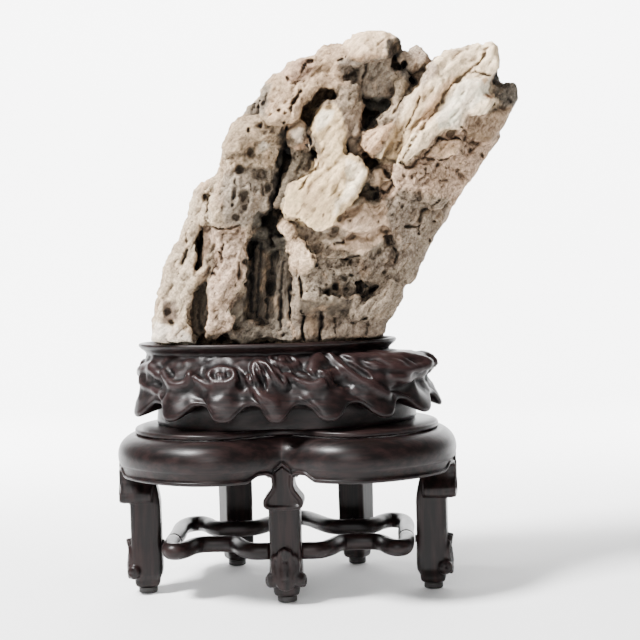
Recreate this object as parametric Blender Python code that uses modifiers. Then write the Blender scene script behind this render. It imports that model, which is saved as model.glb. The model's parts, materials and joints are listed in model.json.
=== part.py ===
"""A scholar's rock on its fitted carved base, standing on a small five-legged stool.

Lengths in this script are millimetres, and `mesh_from` turns them into metres.
The stand is laid out about its own middle: X to the right, Y away from the face of
the rock, Z up from the floor. The whole part is then moved by PART_OFFSET, so that its
origin lies on the floor under the middle of its box.
"""
import math

import bmesh
import bpy
from mathutils import Matrix, Vector, noise

MM = 0.001
GAP = 0.3                       # between pieces that touch
PART_OFFSET = (-24.5, -2.9)     # from the stand's middle to the part's origin

# stool
PAD_HEIGHT = 4.0
PAD_DIAMETER = 13.0
APRON_TOP = 110.5
APRON_BOTTOM = 83.0
APRON_BULGE = 12.5              # how far it stands out from the board above it
BOARD_THICKNESS = 4.0
BOARD_TOP = APRON_TOP + GAP + BOARD_THICKNESS
RAIL_HEIGHT = 33.5
RAIL_DIAMETER = 11.3
# free space between a back peg and the turned face of its leg
BACK_PEG_CLEARANCE = 0.8

# the apron's outline at its fullest: an ellipse with a notch over each leg (bearing, depth, width)
RIM_CENTRE_Y = -14.0
RIM_HALF_WIDTH = 118.5
RIM_FRONT_DEPTH = 88.0
RIM_BACK_DEPTH = 110.0
NOTCHES = ((0, 0.38, 22), (86.5, 0.012, 16), (-86.5, 0.012, 16), (149.5, 0.06, 15), (-149.5, 0.06, 15))

# legs: name and bearing about the rim's centre, in degrees from the front
LEGS = (
    ("leg_front", 0.0),
    ("leg_right", 86.5),
    ("leg_back_right", 149.5),
    ("leg_back_left", -149.5),
    ("leg_left", -86.5),
)
LEG_INSET = 5.6                 # from the board's edge to the shaft's middle
SHAFT_HALF = 10.4
BRACKET_BOTTOM = 63.0
BRACKET_FACE = 17.6             # its face, out from the shaft's middle
MITRE_PEAK = 92.0
MITRE_FOOT = 87.0
MITRE_HALF = 8.0

# carved base
BASE_BOTTOM = BOARD_TOP + GAP
LIP_TOP = 169.5
LIP_CENTRE_X = -13.0
LIP_HALF_WIDTH = 89.5
LIP_HALF_DEPTH = 56.0
SKIRT_WAVES = 16
SKIRT_EDGE = 127.5
SKIRT_WAVE_HEIGHT = 4.5
SKIRT_RUFFLE = 2.6
SEAT_FLOOR = 163.0
SEAT_HALF_WIDTH = 82.5
SEAT_HALF_DEPTH = 47.5

# rock
ROCK_TURN = 4.0                 # degrees about Z, of the rock's face
ROCK_VOXEL = 3.2
ROCK_ROUGHNESS = 2.6
ROCK_TRIANGLES = 4000


def material(name, colour, roughness):
    mat = bpy.data.materials.new(name)
    mat.use_nodes = True
    shader = mat.node_tree.nodes["Principled BSDF"]
    shader.inputs["Base Color"].default_value = (*colour, 1.0)
    shader.inputs["Roughness"].default_value = roughness
    shader.inputs["Metallic"].default_value = 0.0
    mat.diffuse_color = (*colour, 1.0)
    return mat


def collection(name):
    coll = bpy.data.collections.new(name)
    bpy.context.scene.collection.children.link(coll)
    return coll


def mesh_from(name, bm, coll, mat):
    """An object in metres, at the part's origin, from a bmesh in millimetres."""
    bmesh.ops.recalc_face_normals(bm, faces=bm.faces)
    bmesh.ops.transform(bm, verts=bm.verts, matrix=Matrix.Scale(MM, 4))
    mesh = bpy.data.meshes.new(name)
    bm.to_mesh(mesh)
    bm.free()
    obj = bpy.data.objects.new(name, mesh)
    obj.location = (PART_OFFSET[0] * MM, PART_OFFSET[1] * MM, 0.0)
    coll.objects.link(obj)
    if mat:
        mesh.materials.append(mat)
    else:
        obj.hide_render = True
        obj.display_type = "WIRE"
    return obj


def boolean(obj, cutter, operation):
    mod = obj.modifiers.new(operation.title(), "BOOLEAN")
    mod.object = cutter
    mod.operation = operation
    mod.solver = "EXACT"


def add_loft(bm, rings, closed=False):
    """Quads between rings of equally many points; capped, or closed on itself."""
    rows = [[bm.verts.new(point) for point in ring] for ring in rings]
    if closed:
        rows.append(rows[0])
    count = len(rows[0])
    for low, high in zip(rows, rows[1:]):
        for i in range(count):
            j = (i + 1) % count
            bm.faces.new((low[i], low[j], high[j], high[i]))
    if not closed:
        bm.faces.new(rows[0])
        bm.faces.new(rows[-1])


def add_slab(bm, outline, front, back):
    """An upright outline of (x, z) points, filled between two depths."""
    add_loft(bm, [[(x, depth, z) for x, z in outline] for depth in (front, back)])


# ---------------------------------------------------------------- stool

def rim_point(bearing):
    """A point of the apron's outline, by bearing from the front, about the rim's centre."""
    angle = math.radians(bearing)
    depth = RIM_FRONT_DEPTH if math.cos(angle) > 0 else RIM_BACK_DEPTH
    radius = 1.0 / math.hypot(math.sin(angle) / RIM_HALF_WIDTH, math.cos(angle) / depth)
    for place, share, width in NOTCHES:
        away = (bearing - place + 180.0) % 360.0 - 180.0
        radius *= 1.0 - share * math.exp(-(away / width) ** 2)
    return Vector((radius * math.sin(angle), RIM_CENTRE_Y - radius * math.cos(angle)))


def edge_normal(bearing):
    along = rim_point(bearing + 0.5) - rim_point(bearing - 0.5)
    return Vector((along.y, -along.x)).normalized()


def board_point(bearing):
    """A point of the board's edge, which the apron overhangs."""
    return rim_point(bearing) - edge_normal(bearing) * APRON_BULGE


def top_board(coll, mat):
    """A flat outline with a rounded edge."""
    edge_round = 1.2
    curve = bpy.data.curves.new("top_panel", "CURVE")
    curve.dimensions = "2D"
    curve.fill_mode = "BOTH"
    curve.extrude = (BOARD_THICKNESS / 2 - edge_round) * MM
    curve.bevel_depth = edge_round * MM
    curve.bevel_resolution = 0
    curve.offset = -edge_round * MM
    steps = 50
    spline = curve.splines.new("POLY")
    spline.points.add(steps - 1)
    for i, point in enumerate(spline.points):
        place = board_point(360.0 * i / steps) * MM
        point.co = (place.x, place.y, 0.0, 1.0)
    spline.use_cyclic_u = True
    board = bpy.data.objects.new("top_panel", curve)
    board.location = (
        PART_OFFSET[0] * MM, PART_OFFSET[1] * MM, (BOARD_TOP - BOARD_THICKNESS / 2) * MM
    )
    coll.objects.link(board)
    curve.materials.append(mat)


def apron_bottom(from_leg):
    """Height of the apron's lower edge, by distance from the nearest leg's middle."""
    if from_leg < MITRE_HALF:
        return MITRE_PEAK - (MITRE_PEAK - MITRE_FOOT) * from_leg / MITRE_HALF
    blend = min(max((from_leg - 18.0) / 10.0, 0.0), 1.0)
    return MITRE_FOOT - (MITRE_FOOT - APRON_BOTTOM) * blend * blend * (3 - 2 * blend)


def apron_section(bearing, from_leg):
    """The bulging section of the apron at one bearing, as offset from the board and height."""
    low = apron_bottom(from_leg)
    profile = (
        (-2.0, APRON_TOP), (5.0, 109.0), (10.3, 104.5), (APRON_BULGE, 97.0),
        (12.0, max(91.0, low + 3.0)), (8.8, low), (5.4, low + 0.4), (5.6, 96.5), (-2.0, 104.5),
    )
    edge = board_point(bearing)
    out = edge_normal(bearing)
    return [(edge.x + out.x * o, edge.y + out.y * o, z) for o, z in profile]


def leg_place(bearing):
    """Middle of a leg's shaft, and the way it faces in degrees from the front."""
    out = edge_normal(bearing)
    return board_point(bearing) - out * LEG_INSET, math.degrees(math.atan2(out.x, -out.y))


def apron_foot(bearing):
    """Plan point of the apron's lower outer edge, along which distances from a leg are taken."""
    return board_point(bearing) + edge_normal(bearing) * 8.8


def apron(name, start, end, coll, mat):
    """One curved board of the apron, from one leg's middle to the next."""
    fine = 60
    bearings = [start + (end - start) * i / fine for i in range(fine + 1)]
    reach = [0.0]
    for a, b in zip(bearings, bearings[1:]):
        reach.append(reach[-1] + (apron_foot(b) - apron_foot(a)).length)
    total = reach[-1]
    near_leg = (GAP / 2, MITRE_HALF, 18.0, 28.0)
    spans = 5
    stations = list(near_leg)
    for i in range(1, spans):
        stations.append(near_leg[-1] + (total - 2 * near_leg[-1]) * i / spans)
    stations += [total - station for station in reversed(near_leg)]
    rings = []
    for station in stations:
        i = next(k for k in range(fine) if reach[k + 1] >= station)
        share = (station - reach[i]) / (reach[i + 1] - reach[i])
        bearing = bearings[i] + (bearings[i + 1] - bearings[i]) * share
        rings.append(apron_section(bearing, min(station, total - station)))
    bm = bmesh.new()
    add_loft(bm, rings)
    return mesh_from(name, bm, coll, mat)


def rounded_square(half, corner, height, push=0.0):
    """Eight points round a square with cut corners; push moves the front side outward."""
    inner = half - corner
    points = []
    for x, y in ((inner, half), (-inner, half), (-half, inner), (-half, -inner),
                 (-inner, -half - push), (inner, -half - push), (half, -inner), (half, inner)):
        points.append((x, y, height))
    return points


def leg_shaft(bm):
    """Collar over the pad, swelling foot and plain square shaft."""
    sections = (
        (PAD_HEIGHT + GAP, 7.0, 3.5, 0.0), (9.0, 8.2, 3.5, 0.0), (17.0, 11.0, 3.5, 2.0),
        (28.0, SHAFT_HALF, 3.0, 0.8), (95.0, SHAFT_HALF, 3.0, 0.0),
    )
    add_loft(bm, [rounded_square(half, corner, z, push) for z, half, corner, push in sections])


def bell_outline():
    """The bell-shaped bracket with its mitred peak, seen from the front."""
    half = ((0.0, MITRE_PEAK - GAP), (MITRE_HALF - 0.3, MITRE_FOOT - GAP), (7.2, 81.0),
            (9.6, 74.5), (12.2, 69.0), (11.6, BRACKET_BOTTOM))
    return [(x, z) for x, z in half] + [(-x, z) for x, z in reversed(half[1:])]


def leaf_outline():
    """The leaf carved up the front of the foot."""
    half = ((0.0, 39.0), (5.5, 33.0), (7.4, 25.0), (4.0, 15.0))
    return [(x, z) for x, z in half] + [(-x, z) for x, z in reversed(half[1:])]


def leg(name, bearing, coll, tools, mat):
    """One leg: shaft, tenon under the board, bell bracket, collar block, leaf and scroll."""
    centre, facing = leg_place(bearing)
    turn = Matrix.Translation((*centre, 0)) @ Matrix.Rotation(math.radians(facing), 4, "Z")

    def placed(piece, build, target, finish):
        bm = bmesh.new()
        build(bm)
        bmesh.ops.transform(bm, verts=bm.verts, matrix=turn)
        return mesh_from(piece, bm, target, finish)

    def box(bm, low, high):
        size = Vector(high) - Vector(low)
        middle = (Vector(high) + Vector(low)) / 2
        place = Matrix.Translation(middle) @ Matrix.Diagonal((*size, 1.0))
        bmesh.ops.create_cube(bm, size=1.0, matrix=place)

    def scroll(bm):
        place = Matrix.Translation((0, -9.0, 16.8)) @ Matrix.Rotation(math.pi / 2, 4, "Y")
        bmesh.ops.create_cone(
            bm, cap_ends=True, segments=8, radius1=5.8, radius2=5.8, depth=25.0, matrix=place)

    body = placed(name, leg_shaft, coll, mat)
    additions = (
        ("tenon", lambda bm: box(bm, (-7, 2.2, 90), (7, 10.2, APRON_TOP))),
        ("collar", lambda bm: box(bm, (-12, -9.6, 62.4), (12, 11.4, 86.0))),
        ("bell", lambda bm: add_slab(bm, bell_outline(), -BRACKET_FACE, -4.0)),
        ("leaf", lambda bm: add_slab(bm, leaf_outline(), -14.2, -6.0)),
        ("scroll", scroll),
    )
    for label, build in additions:
        boolean(body, placed(f"{name}_{label}_tool", build, tools, None), "UNION")


def pad(name, bearing, coll, mat):
    centre, _ = leg_place(bearing)
    bm = bmesh.new()
    place = Matrix.Translation((*centre, PAD_HEIGHT / 2))
    bmesh.ops.create_cone(bm, cap_ends=True, segments=12, radius1=PAD_DIAMETER / 2,
                          radius2=PAD_DIAMETER / 2, depth=PAD_HEIGHT, matrix=place)
    mesh_from(name, bm, coll, mat)


# the ring that ties the legs: its middle line on the right-hand side, from the front leg back
RING_SIDE = (
    (10.8, -51.5), (22, -51), (29, -43), (35, -29.5), (42, -26), (57, -26), (64, -31), (69, -43),
    (74, -48), (79, -43), (80.7, -18), (81, 8), (82, 30), (79, 44), (71, 49), (64, 42), (59, 32),
    (52, 26.5), (43, 26), (32, 27), (24, 34), (11, 57.5), (5, 64), (0.15, 64),
)
RING_JOINT = 10                 # the point of RING_SIDE where front rail and back rail meet
RING_WAIST = 18                 # the point of RING_SIDE nearest a back leg


def rail(name, points, coll, mat):
    """A round rail bent along the given points."""
    curve = bpy.data.curves.new(name, "CURVE")
    curve.dimensions = "3D"
    curve.bevel_depth = RAIL_DIAMETER / 2 * MM
    curve.bevel_resolution = 2
    curve.use_fill_caps = True
    spline = curve.splines.new("POLY")
    spline.points.add(len(points) - 1)
    for point, (x, y) in zip(spline.points, points):
        point.co = (x * MM, y * MM, 0.0, 1.0)
    obj = bpy.data.objects.new(name, curve)
    obj.location = (PART_OFFSET[0] * MM, PART_OFFSET[1] * MM, RAIL_HEIGHT * MM)
    coll.objects.link(obj)
    curve.materials.append(mat)


def ring_rails(coll, mat):
    """Four rails make the wavy ring: front and back on each side, meeting by the side legs."""
    joint = Vector(RING_SIDE[RING_JOINT])
    front = [Vector(p) for p in RING_SIDE[:RING_JOINT]] + [joint - Vector((0, GAP / 2))]
    back = [joint + Vector((0, GAP / 2))] + [Vector(p) for p in RING_SIDE[RING_JOINT + 1:]]
    for side, sign in (("right", 1), ("left", -1)):
        rail(f"rail_front_{side}", [(sign * p.x, p.y) for p in front], coll, mat)
        rail(f"rail_back_{side}", [(sign * p.x, p.y) for p in back], coll, mat)


def peg(name, start, end, coll, mat):
    """A thin round peg between the ring and a leg."""
    start, end = Vector((*start, RAIL_HEIGHT)), Vector((*end, RAIL_HEIGHT))
    along = end - start
    bm = bmesh.new()
    place = Matrix.Translation((start + end) / 2) @ along.to_track_quat("Z", "Y").to_matrix().to_4x4()
    bmesh.ops.create_cone(bm, cap_ends=True, segments=6, radius1=2.6, radius2=2.6,
                          depth=along.length, matrix=place)
    mesh_from(name, bm, coll, mat)


def pegs(coll, mat):
    """Pegs from the ring to the side legs, and from its back waists to the back legs."""
    ring_edge = RAIL_DIAMETER / 2 + GAP
    waist = Vector(RING_SIDE[RING_WAIST])
    side_leg, _ = leg_place(dict(LEGS)["leg_right"])
    back_leg, back_facing = leg_place(dict(LEGS)["leg_back_right"])
    turn = math.radians(180.0 - back_facing)
    back_face = back_leg.y - (SHAFT_HALF + GAP) / math.cos(turn) - BACK_PEG_CLEARANCE
    for side, sign in (("right", 1), ("left", -1)):
        joint_x = RING_SIDE[RING_JOINT][0]
        peg(f"peg_{side}", (sign * (joint_x + ring_edge), side_leg.y),
            (sign * (side_leg.x - SHAFT_HALF - GAP), side_leg.y), coll, mat)
        peg(f"peg_back_{side}", (sign * waist.x, waist.y + ring_edge),
            (sign * waist.x, back_face), coll, mat)


def stool(coll, tools, wood, black):
    top_board(coll, wood)
    bearing = dict(LEGS)
    apron("apron_front_right", bearing["leg_front"], bearing["leg_right"], coll, wood)
    apron("apron_side_right", bearing["leg_right"], bearing["leg_back_right"], coll, wood)
    apron("apron_back", bearing["leg_back_right"], bearing["leg_back_left"] + 360.0, coll, wood)
    apron("apron_side_left", bearing["leg_back_left"], bearing["leg_left"], coll, wood)
    apron("apron_front_left", bearing["leg_left"], bearing["leg_front"], coll, wood)
    for name, place in LEGS:
        leg(name, place, coll, tools, wood)
        pad(name.replace("leg", "pad"), place, coll, black)
    ring_rails(coll, wood)
    pegs(coll, wood)


# ---------------------------------------------------------------- carved base

# bumps carved on the base: bearing from the front, height, half-width in degrees and mm, how proud
BASE_KNOBS = (
    (76, 160, 15, 9, 9.0), (97, 152, 8, 8, 5.0), (52, 156, 8, 6, 4.0), (33, 158, 8, 5, 4.5),
    (-6, 151, 7, 6, 4.5), (-20, 147, 7, 6, 4.5), (-52, 151, 9, 7, 5.0), (-78, 150, 9, 8, 4.5),
    (128, 152, 10, 7, 4.5), (-125, 152, 10, 7, 4.5), (178, 153, 11, 7, 4.5),
)


def oval(bearing, half_width, half_depth, lobes=0.0):
    """Radius of an oval with a slight five-lobed wave, by bearing from the front."""
    angle = math.radians(bearing)
    radius = 1.0 / math.hypot(math.sin(angle) / half_width, math.cos(angle) / half_depth)
    return radius * (1.0 + lobes * math.cos(math.radians(5 * bearing + 180)))


def base_ring(centre_x, half_width, half_depth, height, lobes=0.0, ruffle=0.0, wave=0.0, knobs=False):
    count = 80
    ring = []
    for i in range(count):
        bearing = 360.0 * i / count - 180.0
        swing = math.cos(math.radians(SKIRT_WAVES * bearing))
        z = height - wave * swing
        radius = oval(bearing, half_width, half_depth, lobes) + ruffle * swing
        if knobs:
            for place, level, wide, tall, proud in BASE_KNOBS:
                away = (bearing - place + 180.0) % 360.0 - 180.0
                radius += proud * math.exp(-(away / wide) ** 2 - ((z - level) / tall) ** 2)
        angle = math.radians(bearing)
        ring.append((centre_x + radius * math.sin(angle), -radius * math.cos(angle), z))
    return ring


def carved_base(coll, mat):
    """Plinth, ruffled skirt, knobbly body, waisted neck, rolled lip and the seat cut for the rock."""
    lip = LIP_CENTRE_X
    rings = (
        base_ring(-1.5, 90.5, 64.0, BASE_BOTTOM, lobes=0.03),
        base_ring(-1.0, 91.0, 64.0, 129.0, lobes=0.03),
        base_ring(-0.9, 104.0, 75.0, SKIRT_EDGE, lobes=0.03, ruffle=SKIRT_RUFFLE,
                  wave=SKIRT_WAVE_HEIGHT),
        base_ring(-0.9, 106.5, 77.5, SKIRT_EDGE + 2.5, lobes=0.03, ruffle=SKIRT_RUFFLE,
                  wave=SKIRT_WAVE_HEIGHT),
        base_ring(-1.5, 104.5, 75.5, 137.0, lobes=0.03, ruffle=SKIRT_RUFFLE * 0.7, wave=2.0,
                  knobs=True),
        base_ring(-3.0, 101.0, 71.5, 145.0, lobes=0.02, ruffle=0.8, knobs=True),
        base_ring(-6.0, 96.0, 66.0, 152.5, lobes=0.02, knobs=True),
        base_ring(-10.0, 89.0, 59.0, 159.0, knobs=True),
        base_ring(lip, 84.5, 52.0, 163.5),
        base_ring(lip, LIP_HALF_WIDTH, LIP_HALF_DEPTH, 167.0),
        base_ring(lip, LIP_HALF_WIDTH - 2.2, LIP_HALF_DEPTH - 2.2, LIP_TOP),
        base_ring(lip, SEAT_HALF_WIDTH, SEAT_HALF_DEPTH, LIP_TOP - 1.0),
        base_ring(lip, SEAT_HALF_WIDTH, SEAT_HALF_DEPTH, SEAT_FLOOR),
    )
    bm = bmesh.new()
    add_loft(bm, rings)
    mesh_from("carved_base", bm, coll, mat)


# ---------------------------------------------------------------- rock

class Form:
    """A slab of the rock: an outline in its face, between a leaning front and a flat back."""

    def __init__(self, label, front, back, lean, outline, rounding=4):
        self.label = label
        self.back = back
        self.outline = outline
        self.lean = lean
        self.front = front
        self.rounding = rounding
        count = len(outline)
        self.middle = (sum(x for x, _ in outline) / count, sum(z for _, z in outline) / count)

    def front_at(self, x, z):
        depth = self.front + self.lean[0] * (x - self.middle[0]) + self.lean[1] * (z - self.middle[1])
        return min(depth, self.back - 2.5 * self.rounding)

    def drawn_in(self, x, z):
        """The outline's point moved towards the middle by the rounding of the rim."""
        away = Vector((x - self.middle[0], z - self.middle[1]))
        share = 1.0 - min(self.rounding / away.length, 0.6)
        return self.middle[0] + away.x * share, self.middle[1] + away.y * share

    def add_to(self, bm):
        inner = [self.drawn_in(x, z) for x, z in self.outline]
        half = self.rounding * 0.5
        add_loft(bm, [
            [(x, self.front_at(x, z), z) for x, z in inner],
            [(x, self.front_at(x, z) + half, z) for x, z in self.outline],
            [(x, self.back - half, z) for x, z in self.outline],
            [(x, self.back, z) for x, z in inner],
        ])


ROCK_FACE = (
    Form("core low", -12, 40, (0, 0), [
        (-87, 159), (-86, 195), (-79, 224), (-65, 248), (-58, 266), (-45, 279), (-34, 297),
        (34, 302), (96, 280), (126, 278), (116, 261), (101, 237), (90, 215), (80, 204),
        (68, 182), (65, 155),
    ], rounding=16),
    Form("core high", -8, 30, (0, 0), [
        (-41, 284), (-35, 311), (-25, 325), (-9, 341), (8, 355), (29, 368), (57, 377), (78, 375),
        (79, 360), (88, 350), (106, 358), (126, 365), (148, 368), (153, 347), (161, 337),
        (148, 311), (132, 286), (109, 251), (12, 248), (-46, 270),
    ], rounding=15),
    Form("left heel", -36, 20, (-0.22, 0.06), [
        (-90, 161), (-89, 183), (-87, 198), (-77, 229), (-62, 257), (-58, 273), (-51, 277),
        (-46, 268), (-56, 251), (-58, 235), (-60, 220), (-57, 212), (-62, 197), (-64, 185),
        (-61, 160),
    ]),
    Form("slit plate", -36, 6, (0.1, 0.05), [
        (-54, 251), (-41, 251), (-41, 226), (-51, 208), (-57, 212), (-59, 220), (-55, 235),
    ]),
    Form("pitted pillar", -44, 8, (0.1, 0.06), [
        (-42, 252), (-26, 250), (-23, 241), (-23, 219), (-30, 206), (-38, 194), (-35, 182),
        (-36, 160), (-53, 160), (-50, 209), (-44, 226),
    ]),
    Form("recess wall", -22, 10, (-0.25, 0), [
        (-33, 241), (-4, 253), (10, 233), (12, 192), (9, 157), (-37, 158),
    ]),
    Form("recess rib", -32, 6, (-0.1, 0.04), [
        (-15, 226), (-7, 242), (1, 243), (6, 224), (8, 200), (7, 158), (-11, 158), (-13, 200),
    ]),
    Form("crest", -30, 16, (0.05, 0.35), [
        (-35, 315), (-28, 324), (-13, 335), (-7, 345), (4, 354), (17, 362), (28, 367), (47, 373),
        (56, 379), (75, 379), (83, 372), (80, 366), (63, 355), (39, 346), (22, 333), (5, 320),
        (-12, 315),
    ]),
    Form("lumpy column", -44, 10, (0.12, 0.1), [
        (-36, 310), (-29, 319), (-12, 322), (4, 316), (5, 305), (1, 289), (-7, 267), (-16, 251),
        (-25, 244), (-31, 249), (-47, 251), (-53, 264), (-52, 275), (-43, 281), (-38, 302),
    ]),
    Form("sliver", -42, 4, (0.05, 0.1), [
        (7, 317), (14, 325), (22, 326), (20, 309), (13, 298), (6, 289), (2, 276), (-1, 283),
        (3, 293), (8, 305),
    ]),
    Form("quartz tongue", -54, 2, (0.06, 0.16), [
        (23, 323), (35, 327), (40, 322), (44, 310), (43, 296), (57, 286), (54, 276), (37, 256),
        (24, 245), (12, 255), (-1, 263), (3, 276), (7, 288), (19, 298),
    ]),
    Form("throat", -42, 4, (-0.1, -0.1), [
        (-4, 259), (5, 263), (23, 245), (43, 262), (61, 287), (75, 285), (77, 265), (70, 245),
        (46, 235), (11, 236), (1, 247),
    ]),
    Form("hanging fold", -48, 0, (-0.05, 0.05), [
        (-6, 259), (1, 258), (15, 242), (24, 231), (25, 222), (13, 214), (6, 225), (2, 240),
    ]),
    Form("bulge", -42, 12, (0.14, 0.06), [
        (7, 225), (14, 234), (46, 239), (70, 248), (87, 260), (106, 253), (100, 237), (90, 219),
        (80, 207), (78, 198), (67, 184), (44, 183), (35, 188), (11, 191), (6, 206),
    ]),
    Form("belly", -50, 4, (0.1, -0.05), [
        (7, 216), (23, 225), (45, 224), (62, 217), (66, 208), (54, 197), (36, 190), (14, 191),
        (8, 201),
    ]),
    Form("fluted foot", -40, 10, (0.14, 0.02), [
        (5, 200), (70, 198), (66, 178), (63, 157), (4, 158),
    ]),
    Form("wing", -34, 12, (0.26, 0.04), [
        (75, 284), (83, 299), (101, 308), (145, 313), (150, 314), (140, 296), (131, 281),
        (121, 269), (109, 251), (79, 250), (70, 263),
    ]),
    Form("quartz sail", -38, 10, (0.1, 0.14), [
        (66, 295), (72, 313), (82, 329), (95, 344), (102, 356), (111, 363), (129, 366),
        (141, 367), (148, 363), (149, 344), (147, 333), (125, 320), (122, 311), (106, 308),
        (93, 294), (82, 286), (73, 284),
    ]),
    Form("hollow wall", -16, 10, (0, 0), [
        (49, 354), (64, 363), (81, 358), (83, 340), (77, 327), (58, 323), (50, 336),
    ]),
    Form("cheek", -42, 2, (0.1, 0.2), [
        (25, 337), (38, 343), (50, 347), (53, 337), (51, 329), (57, 320), (55, 311), (46, 308),
        (42, 324),
    ]),
    Form("top knob", -18, 6, (0, 0.1), [
        (81, 357), (84, 364), (91, 369), (99, 369), (103, 362), (108, 360), (109, 350),
        (97, 342), (84, 347),
    ]),
    Form("right tip", -16, 10, (0.2, 0), [
        (145, 340), (151, 347), (157, 345), (166, 339), (165, 333), (153, 317), (144, 313),
        (139, 325),
    ]),
)

# slabs behind the core, as (x, z) outlines between a front depth and a leaning back face
ROCK_BACK = (
    Form("back root", -47, 0, (0.1, 0.12), [
        (88, 159), (84, 190), (70, 214), (44, 222), (20, 212), (0, 224), (-26, 214), (-54, 222),
        (-70, 190), (-62, 159),
    ]),
    Form("back shoulder", -44, 0, (-0.1, 0.2), [
        (56, 205), (50, 240), (34, 270), (12, 286), (-10, 272), (-40, 262), (-70, 238),
        (-84, 232), (-60, 204), (-10, 196),
    ]),
    Form("back crest", -34, 0, (0.0, 0.25), [
        (34, 292), (26, 312), (4, 340), (-22, 358), (-54, 368), (-74, 366), (-66, 336),
        (-40, 306), (-16, 280), (16, 276),
    ]),
    Form("back sail", -30, 0, (-0.1, 0.1), [
        (-70, 282), (-84, 300), (-100, 332), (-118, 356), (-140, 358), (-148, 338), (-136, 304),
        (-116, 270), (-88, 262),
    ]),
)


def rock_blocks():
    """The forms of the face, and those of the back turned about Z, as overlapping shells."""
    bm = bmesh.new()
    for form in ROCK_FACE:
        form.add_to(bm)
    back = bmesh.new()
    for form in ROCK_BACK:
        form.add_to(back)
    bmesh.ops.transform(back, verts=back.verts, matrix=Matrix.Rotation(math.pi, 4, "Z"))
    spare = bpy.data.meshes.new("rock_back")
    back.to_mesh(spare)
    back.free()
    bm.from_mesh(spare)
    bpy.data.meshes.remove(spare)
    bmesh.ops.triangulate(bm, faces=bm.faces)
    bmesh.ops.transform(bm, verts=bm.verts, matrix=Matrix.Rotation(math.radians(ROCK_TURN), 4, "Z"))
    return bm


def evaluated_bmesh(obj):
    bm = bmesh.new()
    graph = bpy.context.evaluated_depsgraph_get()
    bm.from_object(obj, graph)
    return bm


def keep_largest_shell(bm):
    """Drop the closed voids that the fused slabs leave inside."""
    unseen = set(bm.verts)
    shells = []
    while unseen:
        stack = [unseen.pop()]
        shell = list(stack)
        while stack:
            for edge in stack.pop().link_edges:
                for vert in edge.verts:
                    if vert in unseen:
                        unseen.remove(vert)
                        stack.append(vert)
                        shell.append(vert)
        shells.append(shell)
    shells.sort(key=len)
    for shell in shells[:-1]:
        bmesh.ops.delete(bm, geom=shell, context="VERTS")


def roughen(bm):
    """Lumps and ledges: seeded noise along the normals."""
    bm.normal_update()
    moves = []
    for vert in bm.verts:
        place = vert.co / MM
        lumps = noise.fractal(place / 16.0 + Vector((3.1, 7.7, 1.3)), 1.0, 2.0, 3)
        ledges = noise.noise(Vector((place.x / 22.0, place.y / 22.0, place.z / 7.0)))
        moves.append(vert.normal * (lumps + 0.5 * ledges) * ROCK_ROUGHNESS * MM)
    for vert, move in zip(bm.verts, moves):
        vert.co += move


def seat_cutter(tools):
    """Everything outside the seat below the lip: it trims the rock's foot to fit."""
    clearance = 0.6
    outer = 260.0
    count = 48
    levels = (SEAT_FLOOR - 30.0, LIP_TOP + 1.0)
    rings = []
    for i in range(count):
        bearing = 360.0 * i / count
        angle = math.radians(bearing)
        radius = oval(bearing, SEAT_HALF_WIDTH - clearance, SEAT_HALF_DEPTH - clearance)
        direction = (math.sin(angle), -math.cos(angle))
        corners = ((radius, levels[0]), (outer, levels[0]), (outer, levels[1]), (radius, levels[1]))
        rings.append([(LIP_CENTRE_X + r * direction[0], r * direction[1], z) for r, z in corners])
    bm = bmesh.new()
    add_loft(bm, rings, closed=True)
    return mesh_from("seat_tool", bm, tools, None)


def floor_cutter(tools):
    bm = bmesh.new()
    depth = 60.0
    middle = Vector((0, 0, SEAT_FLOOR + GAP - depth / 2))
    place = Matrix.Translation(middle) @ Matrix.Diagonal((600, 600, depth, 1))
    bmesh.ops.create_cube(bm, size=1.0, matrix=place)
    return mesh_from("floor_tool", bm, tools, None)


def rock(coll, tools, mat):
    """The stone: slabs fused by a voxel remesh, roughened, thinned and cut to its seat."""
    blocks = mesh_from("rock_blocks", rock_blocks(), tools, None)
    fuse = blocks.modifiers.new("Fuse", "REMESH")
    fuse.mode = "VOXEL"
    fuse.voxel_size = ROCK_VOXEL * MM
    bpy.context.view_layer.update()
    bm = evaluated_bmesh(blocks)
    keep_largest_shell(bm)
    roughen(bm)
    bmesh.ops.triangulate(bm, faces=bm.faces)
    share = ROCK_TRIANGLES / len(bm.faces)
    bmesh.ops.transform(bm, verts=bm.verts, matrix=Matrix.Scale(1 / MM, 4))
    stone = mesh_from("rock", bm, coll, mat)
    thin = stone.modifiers.new("Thin", "DECIMATE")
    thin.ratio = share
    boolean(stone, seat_cutter(tools), "DIFFERENCE")
    boolean(stone, floor_cutter(tools), "DIFFERENCE")


def main():
    for obj in list(bpy.data.objects):
        bpy.data.objects.remove(obj, do_unlink=True)
    parts = collection("scholars_rock")
    tools = collection("cutters")
    wood = material("dark_rosewood", (0.045, 0.022, 0.018), 0.35)
    black = material("blackened_foot", (0.012, 0.010, 0.010), 0.5)
    stone = material("weathered_quartz", (0.55, 0.47, 0.38), 0.75)
    stool(parts, tools, wood, black)
    carved_base(parts, wood)
    rock(parts, tools, stone)


if __name__ == "__main__":
    main()
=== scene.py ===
import json
import math

import bmesh
import bpy
import numpy as np
from mathutils import Matrix, Vector
from mathutils.bvhtree import BVHTree

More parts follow.
